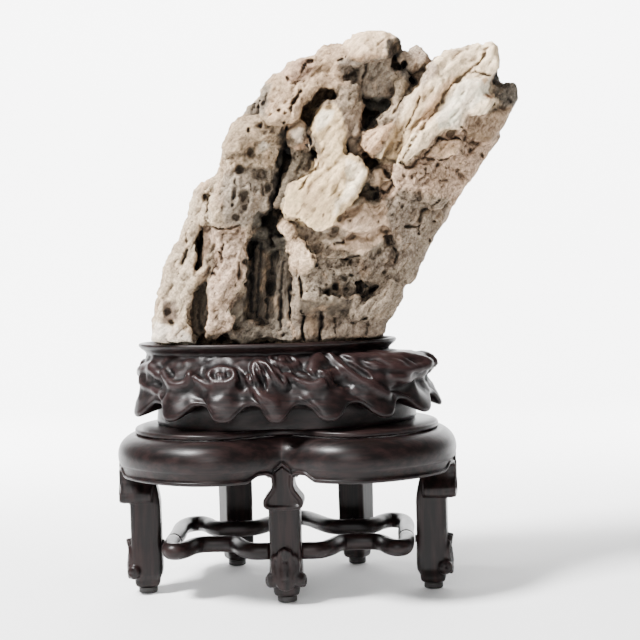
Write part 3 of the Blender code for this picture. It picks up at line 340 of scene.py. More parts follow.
# zones: name, edge softness in squares, colour, quartz, grit, fibre, outline. Later ones lie on top.
ROCK_ZONES = (
    ("crest", 5, (0.80, 0.71, 0.61), 0.3, 0.5, 0.0, [(200, 190), (232, 112), (262, 78), (290, 56),
     (330, 40), (360, 26), (410, 30), (400, 62), (352, 84), (316, 108), (306, 130), (284, 140),
     (270, 170)]),
    ("crest tip", 4, (0.90, 0.83, 0.74), 0.7, 0.1, 0.0, [(340, 46), (356, 30), (390, 28), (400, 38),
     (392, 54), (352, 56)]),
    ("crest pink", 4, (0.80, 0.70, 0.62), 0.2, 0.6, 0.0, [(282, 74), (300, 60), (316, 64), (306, 82),
     (288, 88)]),
    ("crest end", 2, (0.42, 0.38, 0.33), 0.1, 0.8, 0.0, [(387, 40), (398, 36), (406, 46), (402, 60),
     (386, 60)]),
    ("shoulder streaks", 3, (0.60, 0.55, 0.49), 0.0, 0.3, 0.9, [(242, 118), (250, 104), (262, 86),
     (272, 86), (266, 114), (256, 120)]),
    ("column", 4, (0.80, 0.74, 0.66), 0.1, 0.9, 0.1, [(218, 142), (280, 140), (282, 180), (268, 214),
     (244, 240), (206, 228), (208, 196)]),
    ("column low", 6, (0.68, 0.63, 0.57), 0.1, 0.8, 0.2, [(226, 168), (276, 168), (276, 190),
     (268, 210), (246, 228), (226, 224), (218, 198)]),
    ("column cap", 4, (0.73, 0.65, 0.55), 0.1, 0.5, 0.0, [(224, 150), (230, 118), (262, 114),
     (288, 122), (280, 144), (256, 146)]),
    ("column gems", 2, (0.87, 0.84, 0.79), 0.9, 0.0, 0.0, [(258, 146), (265, 141), (270, 145),
     (265, 151), (259, 152)]),
    # column side: its dark colour is painted shade on the column's right face, turned from the light
    ("column side", 2, (0.38, 0.35, 0.31), 0.0, 0.3, 0.6, [(278, 140), (284, 126), (290, 132),
     (290, 150), (280, 186), (272, 214), (266, 210), (275, 180)]),
    ("heel", 4, (0.82, 0.77, 0.70), 0.1, 0.8, 0.2, [(150, 348), (152, 300), (176, 240), (194, 196),
     (216, 184), (212, 226), (200, 300), (196, 348)]),
    ("heel foot", 3, (0.92, 0.90, 0.87), 0.5, 0.4, 0.0, [(150, 350), (154, 322), (176, 326),
     (192, 334), (194, 350)]),
    ("heel gully", 3, (0.60, 0.53, 0.47), 0.0, 0.6, 0.2, [(163, 300), (176, 300), (176, 318),
     (164, 324)]),
    ("slit plate", 2, (0.62, 0.52, 0.44), 0.0, 0.5, 0.6, [(203, 226), (214, 227), (210, 246),
     (205, 262), (201, 268), (202, 250)]),
    ("pillar", 3, (0.84, 0.77, 0.71), 0.0, 0.9, 0.35, [(208, 226), (246, 228), (250, 270), (230, 308),
     (234, 330), (206, 334), (206, 286), (216, 262)]),
    # side strip: fibrous stone whose darker colour is partly painted shade in its recess between heel and
    # pillar
    ("side strip", 2, (0.60, 0.55, 0.49), 0.0, 0.2, 0.8, [(198, 281), (212, 279), (207, 296),
     (206, 332), (192, 336), (190, 306), (196, 290)]),
    ("pillar facet", 2, (0.72, 0.68, 0.62), 0.3, 0.1, 0.2, [(229, 310), (244, 292), (244, 322),
     (234, 324)]),
    # recess and recess ridge: dark colours that are partly painted shade, where the column and pillar
    # shade the recess
    ("recess", 2, (0.41, 0.37, 0.32), 0.0, 0.1, 1.0, [(244, 292), (249, 240), (262, 236), (290, 250),
     (296, 300), (296, 344), (232, 344), (242, 318)]),
    ("recess ridge", 2, (0.52, 0.48, 0.43), 0.0, 0.1, 1.0, [(275, 262), (285, 250), (292, 262),
     (297, 300), (297, 330), (276, 330), (272, 300)]),
    # throat dark: painted shade in the hollow below the column
    ("throat dark", 3, (0.40, 0.38, 0.34), 0.0, 0.5, 0.2, [(256, 214), (270, 208), (290, 240),
     (284, 256), (250, 246), (252, 232)]),
    ("rubble", 3, (0.60, 0.56, 0.51), 0.1, 0.9, 0.0, [(222, 344), (234, 322), (262, 318), (296, 320),
     (298, 344)]),
    ("fibre wall", 3, (0.68, 0.63, 0.57), 0.2, 0.5, 0.35, [(338, 62), (392, 58), (396, 98), (364, 100),
     (352, 86), (340, 80)]),
    # hollow: grey that is painted shade beneath the fibre wall
    ("hollow", 3, (0.42, 0.41, 0.38), 0.0, 0.3, 0.5, [(356, 92), (368, 98), (394, 96), (390, 110),
     (360, 138), (362, 108)]),
    ("cheek", 3, (0.66, 0.59, 0.51), 0.1, 0.8, 0.0, [(336, 88), (358, 84), (362, 106), (346, 114),
     (330, 106)]),
    ("cheek plate", 3, (0.64, 0.56, 0.48), 0.4, 0.3, 0.0, [(342, 112), (362, 106), (366, 120),
     (358, 138), (358, 160), (346, 158), (344, 130)]),
    ("wing", 5, (0.85, 0.77, 0.70), 0.1, 1.0, 0.1, [(380, 160), (424, 142), (462, 126), (506, 116),
     (470, 196), (446, 230), (400, 224), (376, 200)]),
    ("orange plate", 2, (0.86, 0.76, 0.66), 0.5, 0.5, 0.0, [(358, 150), (362, 134), (376, 126),
     (394, 122), (384, 142), (372, 162), (362, 160)]),
    ("sail", 4, (0.95, 0.90, 0.82), 0.9, 0.1, 0.0, [(374, 164), (396, 122), (404, 104), (420, 80),
     (440, 54), (484, 44), (504, 48), (500, 104), (484, 116), (467, 114), (460, 132), (434, 136),
     (424, 152), (406, 166)]),
    ("sail middle", 4, (0.86, 0.79, 0.68), 0.8, 0.2, 0.0, [(380, 162), (404, 118), (424, 86),
     (440, 96), (418, 128), (398, 160)]),
    ("sail stain", 5, (0.90, 0.81, 0.71), 0.7, 0.2, 0.0, [(428, 100), (440, 88), (452, 76), (458, 80),
     (442, 100), (426, 126), (414, 136)]),
    ("sail light", 4, (0.99, 0.96, 0.91), 0.9, 0.0, 0.0, [(446, 102), (462, 80), (490, 78), (490, 96),
     (466, 112), (462, 128), (440, 130), (436, 118)]),
    ("light rib", 3, (0.80, 0.74, 0.66), 0.3, 0.6, 0.0, [(390, 78), (404, 72), (412, 80), (396, 116),
     (374, 122), (390, 106)]),
    ("tan patch", 1.5, (0.76, 0.67, 0.58), 0.1, 0.5, 0.3, [(467, 114), (486, 115), (500, 107),
     (516, 104), (500, 134), (492, 141), (467, 134)]),
    ("lens", 1.2, (0.60, 0.50, 0.39), 0.5, 0.1, 0.2, [(466, 134), (476, 133), (494, 138), (488, 141),
     (474, 139)]),
    ("ledge block", 2, (0.93, 0.85, 0.76), 0.5, 0.4, 0.0, [(430, 152), (440, 144), (458, 142),
     (458, 155), (440, 158)]),
    ("tip", 3, (0.50, 0.47, 0.43), 0.1, 0.8, 0.1, [(490, 82), (500, 66), (524, 84), (520, 104),
     (506, 106), (492, 92)]),
    ("tip spot", 2, (0.88, 0.79, 0.68), 0.6, 0.1, 0.0, [(480, 80), (486, 78), (488, 82), (482, 84)]),
    ("tip brown", 2, (0.74, 0.58, 0.46), 0.4, 0.3, 0.0, [(483, 96), (488, 94), (496, 97), (490, 99)]),
    ("knob", 3, (0.76, 0.70, 0.64), 0.2, 0.7, 0.0, [(394, 72), (402, 50), (430, 46), (438, 76),
     (416, 88)]),
    ("knob dark", 2, (0.60, 0.57, 0.53), 0.1, 0.6, 0.0, [(397, 68), (404, 60), (408, 68), (416, 76),
     (414, 88), (406, 82)]),
    ("mass", 5, (0.68, 0.62, 0.55), 0.1, 0.9, 0.1, [(292, 346), (290, 262), (324, 244), (380, 226),
     (400, 190), (452, 200), (424, 270), (404, 306), (386, 346)]),
    ("mass rough", 4, (0.68, 0.62, 0.56), 0.0, 1.0, 0.3, [(384, 196), (420, 196), (420, 250),
     (394, 270), (352, 276), (352, 262), (390, 250)]),
    ("pit field", 3, (0.64, 0.59, 0.53), 0.0, 1.0, 0.0, [(304, 284), (330, 272), (366, 276),
     (366, 296), (330, 300), (308, 298)]),
    # belly: darker colour that is partly painted shade on the overhang's underside
    ("belly", 3, (0.50, 0.45, 0.39), 0.3, 0.2, 0.0, [(298, 302), (330, 300), (354, 298), (348, 314),
     (304, 314)]),
    ("foot", 3, (0.62, 0.56, 0.50), 0.1, 0.7, 0.7, [(292, 312), (386, 319), (384, 346), (292, 346)]),
    ("foot stain", 2, (0.62, 0.53, 0.44), 0.2, 0.4, 0.6, [(307, 314), (317, 314), (316, 336),
     (308, 336)]),
    # throat: mid-grey that is partly painted shade in the gap between column and tongue
    ("throat", 3, (0.62, 0.57, 0.50), 0.2, 0.8, 0.0, [(290, 150), (308, 152), (312, 166), (296, 186),
     (284, 206), (276, 210), (280, 186)]),
    ("tube", 3, (0.88, 0.81, 0.73), 0.1, 0.8, 0.0, [(278, 218), (296, 224), (316, 256), (310, 274),
     (294, 274), (286, 246)]),
    # grey nook: grey that is partly painted shade on the tube's right side
    ("grey nook", 2, (0.76, 0.70, 0.63), 0.1, 0.6, 0.1, [(300, 222), (324, 228), (326, 246),
     (318, 262), (308, 244)]),
    ("lumps", 3, (0.90, 0.83, 0.76), 0.8, 0.2, 0.0, [(320, 230), (344, 210), (364, 196), (386, 208),
     (390, 236), (364, 254), (330, 248)]),
    ("lump grey", 3, (0.80, 0.75, 0.69), 0.5, 0.4, 0.0, [(320, 230), (336, 227), (346, 233),
     (342, 244), (322, 244)]),
    # nook: darker colour that is partly painted shade below the tongue's right edge
    ("nook", 3, (0.62, 0.57, 0.50), 0.1, 0.6, 0.0, [(348, 202), (364, 178), (376, 190), (380, 202),
     (354, 206)]),
    ("pebble", 2, (0.84, 0.76, 0.67), 0.7, 0.1, 0.0, [(372, 170), (384, 170), (391, 180), (386, 190),
     (374, 186)]),
    ("tongue", 2, (0.90, 0.83, 0.71), 0.9, 0.1, 0.0, [(312, 130), (314, 110), (334, 104), (342, 114),
     (346, 134), (346, 154), (372, 168), (354, 202), (328, 230), (300, 224), (282, 214), (284, 198),
     (312, 166), (320, 152)]),
    ("tongue light", 3, (0.97, 0.93, 0.86), 0.9, 0.0, 0.0, [(344, 158), (370, 168), (356, 192),
     (334, 216), (334, 204), (346, 186)]),
    ("tongue top", 3, (0.95, 0.92, 0.86), 0.9, 0.0, 0.0, [(314, 118), (322, 110), (334, 110),
     (330, 122), (318, 132)]),
    ("tongue stain", 4, (0.86, 0.78, 0.66), 0.8, 0.1, 0.0, [(304, 190), (318, 176), (322, 190),
     (314, 208), (304, 222), (300, 206)]),
    ("sliver", 1.5, (0.99, 0.95, 0.90), 0.9, 0.0, 0.0, [(292, 132), (300, 127), (304, 134), (301, 144),
     (295, 144)]),
    ("sliver orange", 2, (0.86, 0.76, 0.67), 0.5, 0.2, 0.0, [(290, 150), (302, 144), (308, 136),
     (308, 148), (298, 152)]),
)


# ---------------------------------------------------------------- arithmetic on point arrays

def smooth_step(value):
    value = np.clip(value, 0.0, 1.0)
    return value * value * (3.0 - 2.0 * value)


def lattice_hash(cell, seed):
    """A repeatable pseudo-random integer for each lattice cell."""
    cell = cell.astype(np.uint32)
    mixed = cell[:, 0] * np.uint32(374761393) + cell[:, 1] * np.uint32(668265263)
    mixed = mixed + cell[:, 2] * np.uint32(2147483647) + np.uint32(seed * 1274126177 & 0xffffffff)
    mixed = (mixed ^ (mixed >> np.uint32(13))) * np.uint32(1274126177)
    return mixed ^ (mixed >> np.uint32(16))


CORNERS = [(x, y, z) for x in (0, 1) for y in (0, 1) for z in (0, 1)]
NEIGHBOURS = [(x, y, z) for x in (-1, 0, 1) for y in (-1, 0, 1) for z in (-1, 0, 1)]


def gradient_noise(points, seed):
    """Smooth noise of about -1 to 1, one value a point."""
    cell = np.floor(points).astype(np.int64)
    part = points - cell
    fade = part * part * part * (part * (part * 6.0 - 15.0) + 10.0)
    total = np.zeros(len(points))
    for corner in CORNERS:
        mixed = lattice_hash(cell + corner, seed)
        turn = (mixed & np.uint32(0xffff)) / 65536.0 * 2.0 * np.pi
        rise = (mixed >> np.uint32(16)) / 65536.0 * 2.0 - 1.0
        flat = np.sqrt(1.0 - rise * rise)
        away = part - corner
        slope = flat * np.cos(turn) * away[:, 0] + flat * np.sin(turn) * away[:, 1] + rise * away[:, 2]
        share = np.prod(np.where(np.array(corner) == 1, fade, 1.0 - fade), axis=1)
        total += slope * share
    return total * 1.6


def fractal_noise(points, octaves, seed, gain=0.5):
    total = np.zeros(len(points))
    weight = 0.0
    for octave in range(octaves):
        layer = gradient_noise(points * 2.0 ** octave + 17.3 * octave, seed + octave)
        total += layer * gain ** octave
        weight += gain ** octave
    return total / weight


def nearest_seed(points, seed):
    """Distance to the nearest of one random point a cell, and that point's own random value."""
    cell = np.floor(points).astype(np.int64)
    best = np.full(len(points), 9.0)
    value = np.zeros(len(points))
    for step in NEIGHBOURS:
        near = cell + step
        rolls = [lattice_hash(near, seed + k) / 4294967296.0 for k in range(4)]
        gap = np.linalg.norm(near + np.stack(rolls[:3], 1) - points, axis=1)
        closer = gap < best
        best = np.where(closer, gap, best)
        value = np.where(closer, rolls[3], value)
    return best, value


def chips(points, seed, tilt=1.0):
    """Tilted shallow bowls, about one a cell, that meet in sharp ridges as on broken stone."""
    cell = np.floor(points).astype(np.int64)
    lowest = np.full(len(points), 9.0)
    for step in NEIGHBOURS:
        near = cell + step
        rolls = np.stack([lattice_hash(near, seed + k) / 4294967296.0 for k in range(6)], 1)
        away = points - near - rolls[:, :3]
        bowl = np.sum(away * (away + 2.0 * tilt * (rolls[:, 3:] - 0.5)), axis=1)
        lowest = np.minimum(lowest, bowl)
    return lowest - 0.1


def segment_distance(points, start, end):
    along = end - start
    share = np.clip((points - start) @ along / (along @ along + 1e-9), 0.0, 1.0)
    return np.linalg.norm(points - start - share[:, None] * along, axis=1)


def line_distance(points, line):
    corners = [np.array(corner, float) for corner in line]
    return np.min([segment_distance(points, a, b) for a, b in zip(corners, corners[1:])], axis=0)


def outline_distance(points, outline):
    """Distance to a closed outline, negative inside it."""
    corners = [np.array(corner, float) for corner in outline]
    inside = np.zeros(len(points), bool)
    best = np.full(len(points), 1e9)
    for a, b in zip(corners, corners[1:] + corners[:1]):
        best = np.minimum(best, segment_distance(points, a, b))
        rise = b[1] - a[1] if b[1] != a[1] else 1e-9
        crossing = (b[0] - a[0]) * (points[:, 1] - a[1]) / rise + a[0]
        inside ^= ((a[1] > points[:, 1]) != (b[1] > points[:, 1])) & (points[:, 0] < crossing)
    return np.where(inside, -best, best)


# ---------------------------------------------------------------- meshes

def read_points(mesh, what="co"):
    values = np.zeros(len(mesh.vertices) * 3, np.float32)
    mesh.vertices.foreach_get(what, values)
    return values.reshape(-1, 3).astype(float)


def write_points(mesh, points):
    mesh.vertices.foreach_set("co", points.astype(np.float32).ravel())
    mesh.update()


def read_edges(mesh):
    ends = np.zeros(len(mesh.edges) * 2, np.int32)
    mesh.edges.foreach_get("vertices", ends)
    return ends.reshape(-1, 2)


def relaxed(values, edges, passes):
    """Each value moved towards the mean of its neighbours along the edges."""
    count = len(values)
    degree = np.maximum(np.bincount(edges.ravel(), minlength=count), 1).astype(float)
    columns = values.reshape(count, -1)
    for _ in range(passes):
        sums = np.stack([
            np.bincount(edges[:, 0], column[edges[:, 1]], count)
            + np.bincount(edges[:, 1], column[edges[:, 0]], count)
            for column in columns.T
        ], 1)
        columns = columns + 0.5 * (sums / degree[:, None] - columns)
    return columns.reshape(values.shape)


def store(mesh, name, values):
    """A per-vertex attribute: one number or a colour."""
    if values.ndim == 1:
        attribute = mesh.attributes.new(name, "FLOAT", "POINT")
        attribute.data.foreach_set("value", values.astype(np.float32))
        return
    attribute = mesh.color_attributes.new(name, "FLOAT_COLOR", "POINT")
    colours = np.concatenate([values, np.ones((len(values), 1))], 1)
    attribute.data.foreach_set("color", colours.astype(np.float32).ravel())


def object_from(name, bm):
    bmesh.ops.recalc_face_normals(bm, faces=bm.faces)
    mesh = bpy.data.meshes.new(name)
    bm.to_mesh(mesh)
    bm.free()
    obj = bpy.data.objects.new(name, mesh)
    bpy.context.scene.collection.objects.link(obj)
    return obj


def select_only(obj):
    bpy.ops.object.select_all(action="DESELECT")
    obj.select_set(True)
    bpy.context.view_layer.objects.active = obj


def apply_modifier(obj, kind, **settings):
    select_only(obj)
    mod = obj.modifiers.new(kind.title(), kind)
    for key, value in settings.items():
        setattr(mod, key, value)
    bpy.ops.object.modifier_apply(modifier=mod.name)


def add_loft(bm, rings):
    """Quads between rings of equally many points, with both ends capped."""
    rows = [[bm.verts.new(point) for point in ring] for ring in rings]
    count = len(rows[0])
    for low, high in zip(rows, rows[1:]):
        for i in range(count):
            j = (i + 1) % count
            bm.faces.new((low[i], low[j], high[j], high[i]))
    bm.faces.new(rows[0])
    bm.faces.new(rows[-1])


# ---------------------------------------------------------------- rock

def on_face(square):
    """A grid square as millimetres right of and above the drawing's foot."""
    return ((square[0] - GRID_FOOT[0]) * GRID, (GRID_FOOT[1] - square[1]) * GRID)


def to_squares(points):
    return np.stack([points[:, 0] / GRID + GRID_FOOT[0], GRID_FOOT[1] - points[:, 2] / GRID], 1)


def face_to_stand(points):
    """Points of the drawing (right, depth, up) in the stand's frame, along the lines of sight."""
    grow = 1.0 + points[:, 1] / VIEW_DISTANCE
    right = (points[:, 0] - SIGHT[0]) * grow
    up = (points[:, 2] - SIGHT[1]) * grow
    x = right * math.cos(FACE_ROLL) + up * math.sin(FACE_ROLL)
    z = up * math.cos(FACE_ROLL) - right * math.sin(FACE_ROLL)
    y = points[:, 1]
    return np.stack([
        x * math.cos(FACE_TURN) - y * math.sin(FACE_TURN),
        x * math.sin(FACE_TURN) + y * math.cos(FACE_TURN),
        z + SIGHT_HEIGHT,
    ], 1)


def back_to_face(x, depth, z):
    """A point seen from behind, in the drawing's own coordinates."""
    grow = 1.0 - depth / VIEW_DISTANCE
    right = -x * math.cos(FACE_ROLL) - (z - SIGHT_HEIGHT) * math.sin(FACE_ROLL)
    up = (z - SIGHT_HEIGHT) * math.cos(FACE_ROLL) - x * math.sin(FACE_ROLL)
    return (right / grow + SIGHT[0], -depth, up / grow + SIGHT[1])


def add_form(bm, front, back, lean, rounding, outline, place):
    """A slab with a drawn-in, leaning front and a drawn-in flat back."""
    middle = sum((Vector(point) for point in outline), Vector((0.0, 0.0))) / len(outline)
    reach = min((Vector(point) - middle).length for point in outline)
    crown = min(0.16 * reach, 3.0)

    def ring(drawn_in, depth_at):
        points = []
        for point in outline:
            away = Vector(point) - middle
            spot = middle + away * (1.0 - min(drawn_in / away.length, 0.75))
            points.append(place(spot.x, depth_at(spot), spot.y))
        return points

    def face(spot):
        depth = front + lean[0] * (spot.x - middle.x) + lean[1] * (spot.y - middle.y)
        return min(depth, back - 2.5 * rounding)

    half = rounding / 2
    add_loft(bm, [
        ring(rounding + 0.6 * reach, lambda spot: face(spot) - crown),
        ring(rounding, face),
        ring(0.0, lambda spot: face(spot) + half),
        ring(0.0, lambda spot: back - half),
        ring(rounding, lambda spot: back),
    ])


def fused_forms(voxel):
    """All forms of face and back as one closed skin, with the cuts taken out."""
    bm = bmesh.new()
    for _, front, back, lean, rounding, squares in ROCK_FORMS:
        outline = [on_face(square) for square in squares]
        add_form(bm, front, back, lean, rounding, outline, lambda x, y, z: (x, y, z))
    for _, front, back, lean, rounding, outline in BACK_FORMS:
        add_form(bm, front, back, lean, rounding, outline, back_to_face)
    bmesh.ops.triangulate(bm, faces=bm.faces)
    rock = object_from("rock_stone", bm)
    apply_modifier(rock, "REMESH", mode="VOXEL", voxel_size=2.0)
    bm = bmesh.new()
    for _, depth, squares in ROCK_CUTS:
        outline = [on_face(square) for square in squares]
        add_loft(bm, [[(x, y, z) for x, z in outline] for y in (-80.0, depth)])
    bmesh.ops.triangulate(bm, faces=bm.faces)
    cutter = object_from("rock_cuts", bm)
    apply_modifier(rock, "BOOLEAN", object=cutter, operation="DIFFERENCE", solver="EXACT",
                   use_self=True)
    bpy.data.objects.remove(cutter)
    apply_modifier(rock, "REMESH", mode="VOXEL", voxel_size=voxel)
    return rock


def facing_front(mesh):
    return smooth_step((0.35 - read_points(mesh, "normal")[:, 1]) / 0.5)


def zone_weights(points, warp):
    """For every zone, how much it shows at each point of the face."""
    spots = to_squares(points) + warp
    shown = []
    for _, soft, _, _, _, _, outline in ROCK_ZONES:
        shown.append(smooth_step(0.5 - outline_distance(spots, outline) / soft))
    return shown


def back_patches(points):
    """Loose patches for the parts that the drawing doesn't cover: quartz, grit and fibre."""
    quartz = smooth_step(fractal_noise(points / 34.0, 3, 41) * 2.2 + 0.1)
    fibre = smooth_step((60.0 - points[:, 2]) / 30.0 + fractal_noise(points / 22.0, 2, 47))
    return quartz, 1.0 - 0.6 * quartz, fibre * (1.0 - quartz)


def stone_grounds(points, front):
    """Colour, quartz, grit and fibre of the stone at each point."""
    warp = np.stack([
        gradient_noise(points / 7.0, 3) * 2.4 + gradient_noise(points / 2.5, 5) * 1.0,
        gradient_noise(points / 7.0, 7) * 2.4 + gradient_noise(points / 2.5, 9) * 1.0,
    ], 1)
    quartz, grit, fibre = back_patches(points)
    pale = np.array((0.88, 0.83, 0.76))
    dull = np.array((0.66, 0.59, 0.51))
    brown = np.array((0.52, 0.43, 0.35))
    colour = dull + (pale - dull) * quartz[:, None] + (brown - dull) * fibre[:, None] * 0.5
    for zone, shown in zip(ROCK_ZONES, zone_weights(points, warp)):
        share = shown * front
        colour += (np.array(zone[2]) - colour) * share[:, None]
        quartz += (zone[3] - quartz) * share
        grit += (zone[4] - grit) * share
        fibre += (zone[5] - fibre) * share
    return colour, quartz, grit, fibre


def drawn_marks(points, front):
    """Depth of the drawn cracks and pits, and how much painted shade darkens each."""
    stray = [gradient_noise(points / 4.0, seed) * 1.3 + gradient_noise(points / 1.8, seed + 1) * 0.7
             for seed in (61, 67)]
    spots = to_squares(points) + np.stack(stray, 1)
    swell = np.clip(0.8 + 0.7 * fractal_noise(points / 9.0, 2, 71), 0.3, 1.2)
    depth = np.zeros(len(points))
    shade = np.zeros(len(points))
    for half, deep, line in ROCK_CRACKS:
        cut = smooth_step(1.3 - line_distance(spots, line) / (half * swell)) * front
        depth = np.maximum(depth, cut * deep * swell)
        shade = np.maximum(shade, cut * cut * min(deep / 8.0, 0.9) * swell)
    for x, y, radius, deep in ROCK_PITS:
        away = np.hypot(spots[:, 0] - x, (spots[:, 1] - y) * 0.8) / (radius * (0.3 + 0.7 * swell))
        cut = smooth_step(1.4 - away) * front
        depth = np.maximum(depth, cut * deep)
        shade = np.maximum(shade, cut * cut * min(deep / 16.0, 0.55))
    return depth, shade


def terraced(value, sharp):
    """The value in steps of one, with short slopes between them."""
    base = np.floor(value)
    return base + smooth_step((value - base - 0.5) * sharp + 0.5)


def valleys(points, seed, width):
    """Thin winding lines, 1 along each line and 0 away from it."""
    return smooth_step(1.0 - np.abs(fractal_noise(points, 2, seed)) / width)


# depths of the weathering, mm
CHIP_DEPTH = 3.2
BACK_CHIP_DEPTH = 10.0
HOLLOW_DEPTH = 7.0
FISSURE_DEPTH = 3.5
QUARTZ_CHIP_DEPTH = 2.2
GRIT_CHIP_DEPTH = 2.0
GRIT_DEPTH = 1.3
CRACK_DEPTH = 1.5
FLUTE_DEPTH = 1.6
PIT_DEPTH = 1.3
WANDER = 1.8
# how far a hole is looked into for its shade, mm
HOLLOW_REACH = 22.0


def weather(rock):
    """Lumps, ledges, chips, grooves and pits; returns what the material needs to know, with the painted
    shade of cracks, pits, hollows and fissures.
    """
    mesh = rock.data
    edges = read_edges(mesh)
    points = relaxed(read_points(mesh), edges, 1)
    wander = np.stack([fractal_noise(points / 10.0, 3, seed) for seed in (11, 13, 17)], 1)
    points = points + wander * WANDER
    write_points(mesh, points)
    front = facing_front(mesh)
    colour, quartz, grit, fibre = stone_grounds(points, front)
    normal = relaxed(read_points(mesh, "normal"), edges, 3)
    normal /= np.linalg.norm(normal, axis=1)[:, None] + 1e-9
    # everything runs up to the right, as the whole stone does
    flow = np.stack([
        points[:, 0] * 0.80 - points[:, 2] * 0.60,
        points[:, 1],
        points[:, 0] * 0.60 + points[:, 2] * 0.80,
    ], 1)
    lift = chips(flow / (15.0, 15.0, 24.0), 23) * CHIP_DEPTH
    lift += (1.0 - front) * chips(flow / (36.0, 36.0, 54.0), 21, 1.3) * BACK_CHIP_DEPTH
    # the back and the ends have worn hollows and long fissures of their own
    hollow = (1.0 - front) * smooth_step((fractal_noise(flow / (16.0, 16.0, 44.0), 3, 91) + 0.05) / 0.42)
    fissure = (1.0 - front) * valleys(flow / (15.0, 15.0, 75.0), 93, 0.03)
    fissure = fissure * smooth_step(fractal_noise(points / 24.0, 2, 95) * 3.5)
    lift -= hollow * HOLLOW_DEPTH + fissure * FISSURE_DEPTH
    lift += terraced(fractal_noise(flow / (9.0, 12.0, 30.0), 3, 29) * 3.2, 3.5) * (0.8 + 0.4 * grit)
    lift += quartz * (chips(flow / (7.5, 7.5, 12.0), 31) * QUARTZ_CHIP_DEPTH
                      + fractal_noise(flow / (3.5, 3.5, 8.0), 2, 33) * 0.6)
    lift -= grit * (chips(flow / (6.0, 6.0, 9.0), 34, 1.3) * GRIT_CHIP_DEPTH)
    lift += grit * fractal_noise(flow / (4.0, 4.0, 6.0), 2, 35, gain=0.6) * GRIT_DEPTH
    patchy = smooth_step(fractal_noise(points / 15.0, 2, 36) * 3.0)
    cracked = valleys(flow / (8.0, 8.0, 14.0), 37, 0.035) * patchy
    lift -= (grit + 0.5 * quartz) * cracked * CRACK_DEPTH
    grooves = points / (3.6, 3.6, 30.0)
    lift += fibre * (fractal_noise(grooves, 2, 43) * FLUTE_DEPTH
                     + terraced(gradient_noise(grooves * 0.45, 45) * 2.2, 3.0) * 0.9)
    hole, chance = nearest_seed(points / 4.6, 53)
    pitted = grit * smooth_step((0.26 - hole) / 0.14) * smooth_step((chance - 0.72) / 0.1)
    deep, shade = drawn_marks(points, front)
    # the right-hand edge is straighter than the rest
    calm = 1.0 - 0.55 * smooth_step((normal[:, 0] - 0.3) / 0.4) * smooth_step((points[:, 0] - 40.0) / 30.0)
    points = points + normal * ((lift - pitted * PIT_DEPTH) * calm)[:, None]
    points[:, 1] += deep
    write_points(mesh, points)
    # painted shade in pits, cracks, back hollows and fissures
    shade = np.maximum(shade, np.maximum(pitted * 0.5, grit * cracked * 0.4))
    shade = np.maximum(shade, np.maximum(hollow * 0.22, fissure * 0.4))
    tone = nearest_seed(points / 11.0, 57)[1]
    return colour, quartz, grit, fibre, shade, tone


def hollowness(mesh, reach):
    """How much of the sky each point doesn't see within reach, for painted shade: dark in holes, nought on
    ridges.
    """
    points = read_points(mesh)
    normals = read_points(mesh, "normal")
    tree = BVHTree.FromPolygons([Vector(p) for p in points], [tuple(f.vertices) for f in mesh.polygons])
    spread = [Vector((math.cos(a) * 0.8, math.sin(a) * 0.8, 0.6)) for a in np.arange(5) * 1.2566]
    spread += [Vector((math.cos(a) * 0.4, math.sin(a) * 0.4, 0.9)) for a in np.arange(4) * 1.5708]
    hidden = np.zeros(len(points))
    for i, (point, normal) in enumerate(zip(points, normals)):
        out = Vector(normal)
        across = out.orthogonal().normalized()
        up = out.cross(across)
        start = Vector(point) + out * 0.4
        for ray in spread:
            toward = across * ray.x + up * ray.y + out * ray.z
            _, _, _, gap = tree.ray_cast(start, toward, reach)
            if gap is not None:
                hidden[i] += 1.0 - 0.6 * gap / reach
    return hidden / len(spread)


# ---------------------------------------------------------------- the stand's own plan, mm
PAD_HEIGHT = 4.0
PAD_DIAMETER = 13.0
APRON_TOP = 110.5
APRON_BOTTOM = 83.0
APRON_BULGE = 12.5
APRON_FOOT_OUT = 8.8
APRON_STEP = 1.6
BOARD_THICKNESS = 4.0
BOARD_TOP = 114.8
RAIL_HEIGHT = 33.5
RAIL_DIAMETER = 11.3
RIM_CENTRE_Y = -14.0
RIM_HALF_WIDTH = 118.5
RIM_FRONT_DEPTH = 88.0
RIM_BACK_DEPTH = 110.0
NOTCHES = ((0, 0.38, 22), (86.5, 0.012, 16), (-86.5, 0.012, 16), (149.5, 0.06, 15), (-149.5, 0.06, 15))
LEGS = {
    "leg_front": 0.0,
    "leg_right": 86.5,
    "leg_back_right": 149.5,
    "leg_back_left": -149.5,
    "leg_left": -86.5,
}
# bays of the frieze: the legs at its two ends, going round, and the way its grain runs
APRON_BAYS = (
    ("apron_front_right", "leg_front", "leg_right", "across"),
    ("apron_side_right", "leg_right", "leg_back_right", "rails"),
    ("apron_back", "leg_back_right", "leg_back_left", "across"),
    ("apron_side_left", "leg_back_left", "leg_left", "rails"),
    ("apron_front_left", "leg_left", "leg_front", "across"),
)
LEG_INSET = 5.6
BRACKET_FACE = 17.6
MITRE_PEAK = 92.0
MITRE_FOOT = 87.0
MITRE_HALF = 8.0
LIP_CENTRE_X = -13.0
SEAT_FLOOR = 163.3
SEAT_HALF_WIDTH = 81.6
SEAT_HALF_DEPTH = 46.6
SEAT_RIM = 170.5
SEAT_BLEND = 5.0
RING_SIDE = (
    (10.8, -51.5), (22, -51), (29, -43), (35, -29.5), (42, -26), (57, -26), (64, -31), (69, -43),
    (74, -48), (79, -43), (80.7, -18), (81, 8), (82, 30), (79, 44), (71, 49), (64, 42), (59, 32),
    (52, 26.5), (43, 26), (32, 27), (24, 34), (11, 57.5), (5, 64), (0.15, 64),
)
RING_JOINT = 10


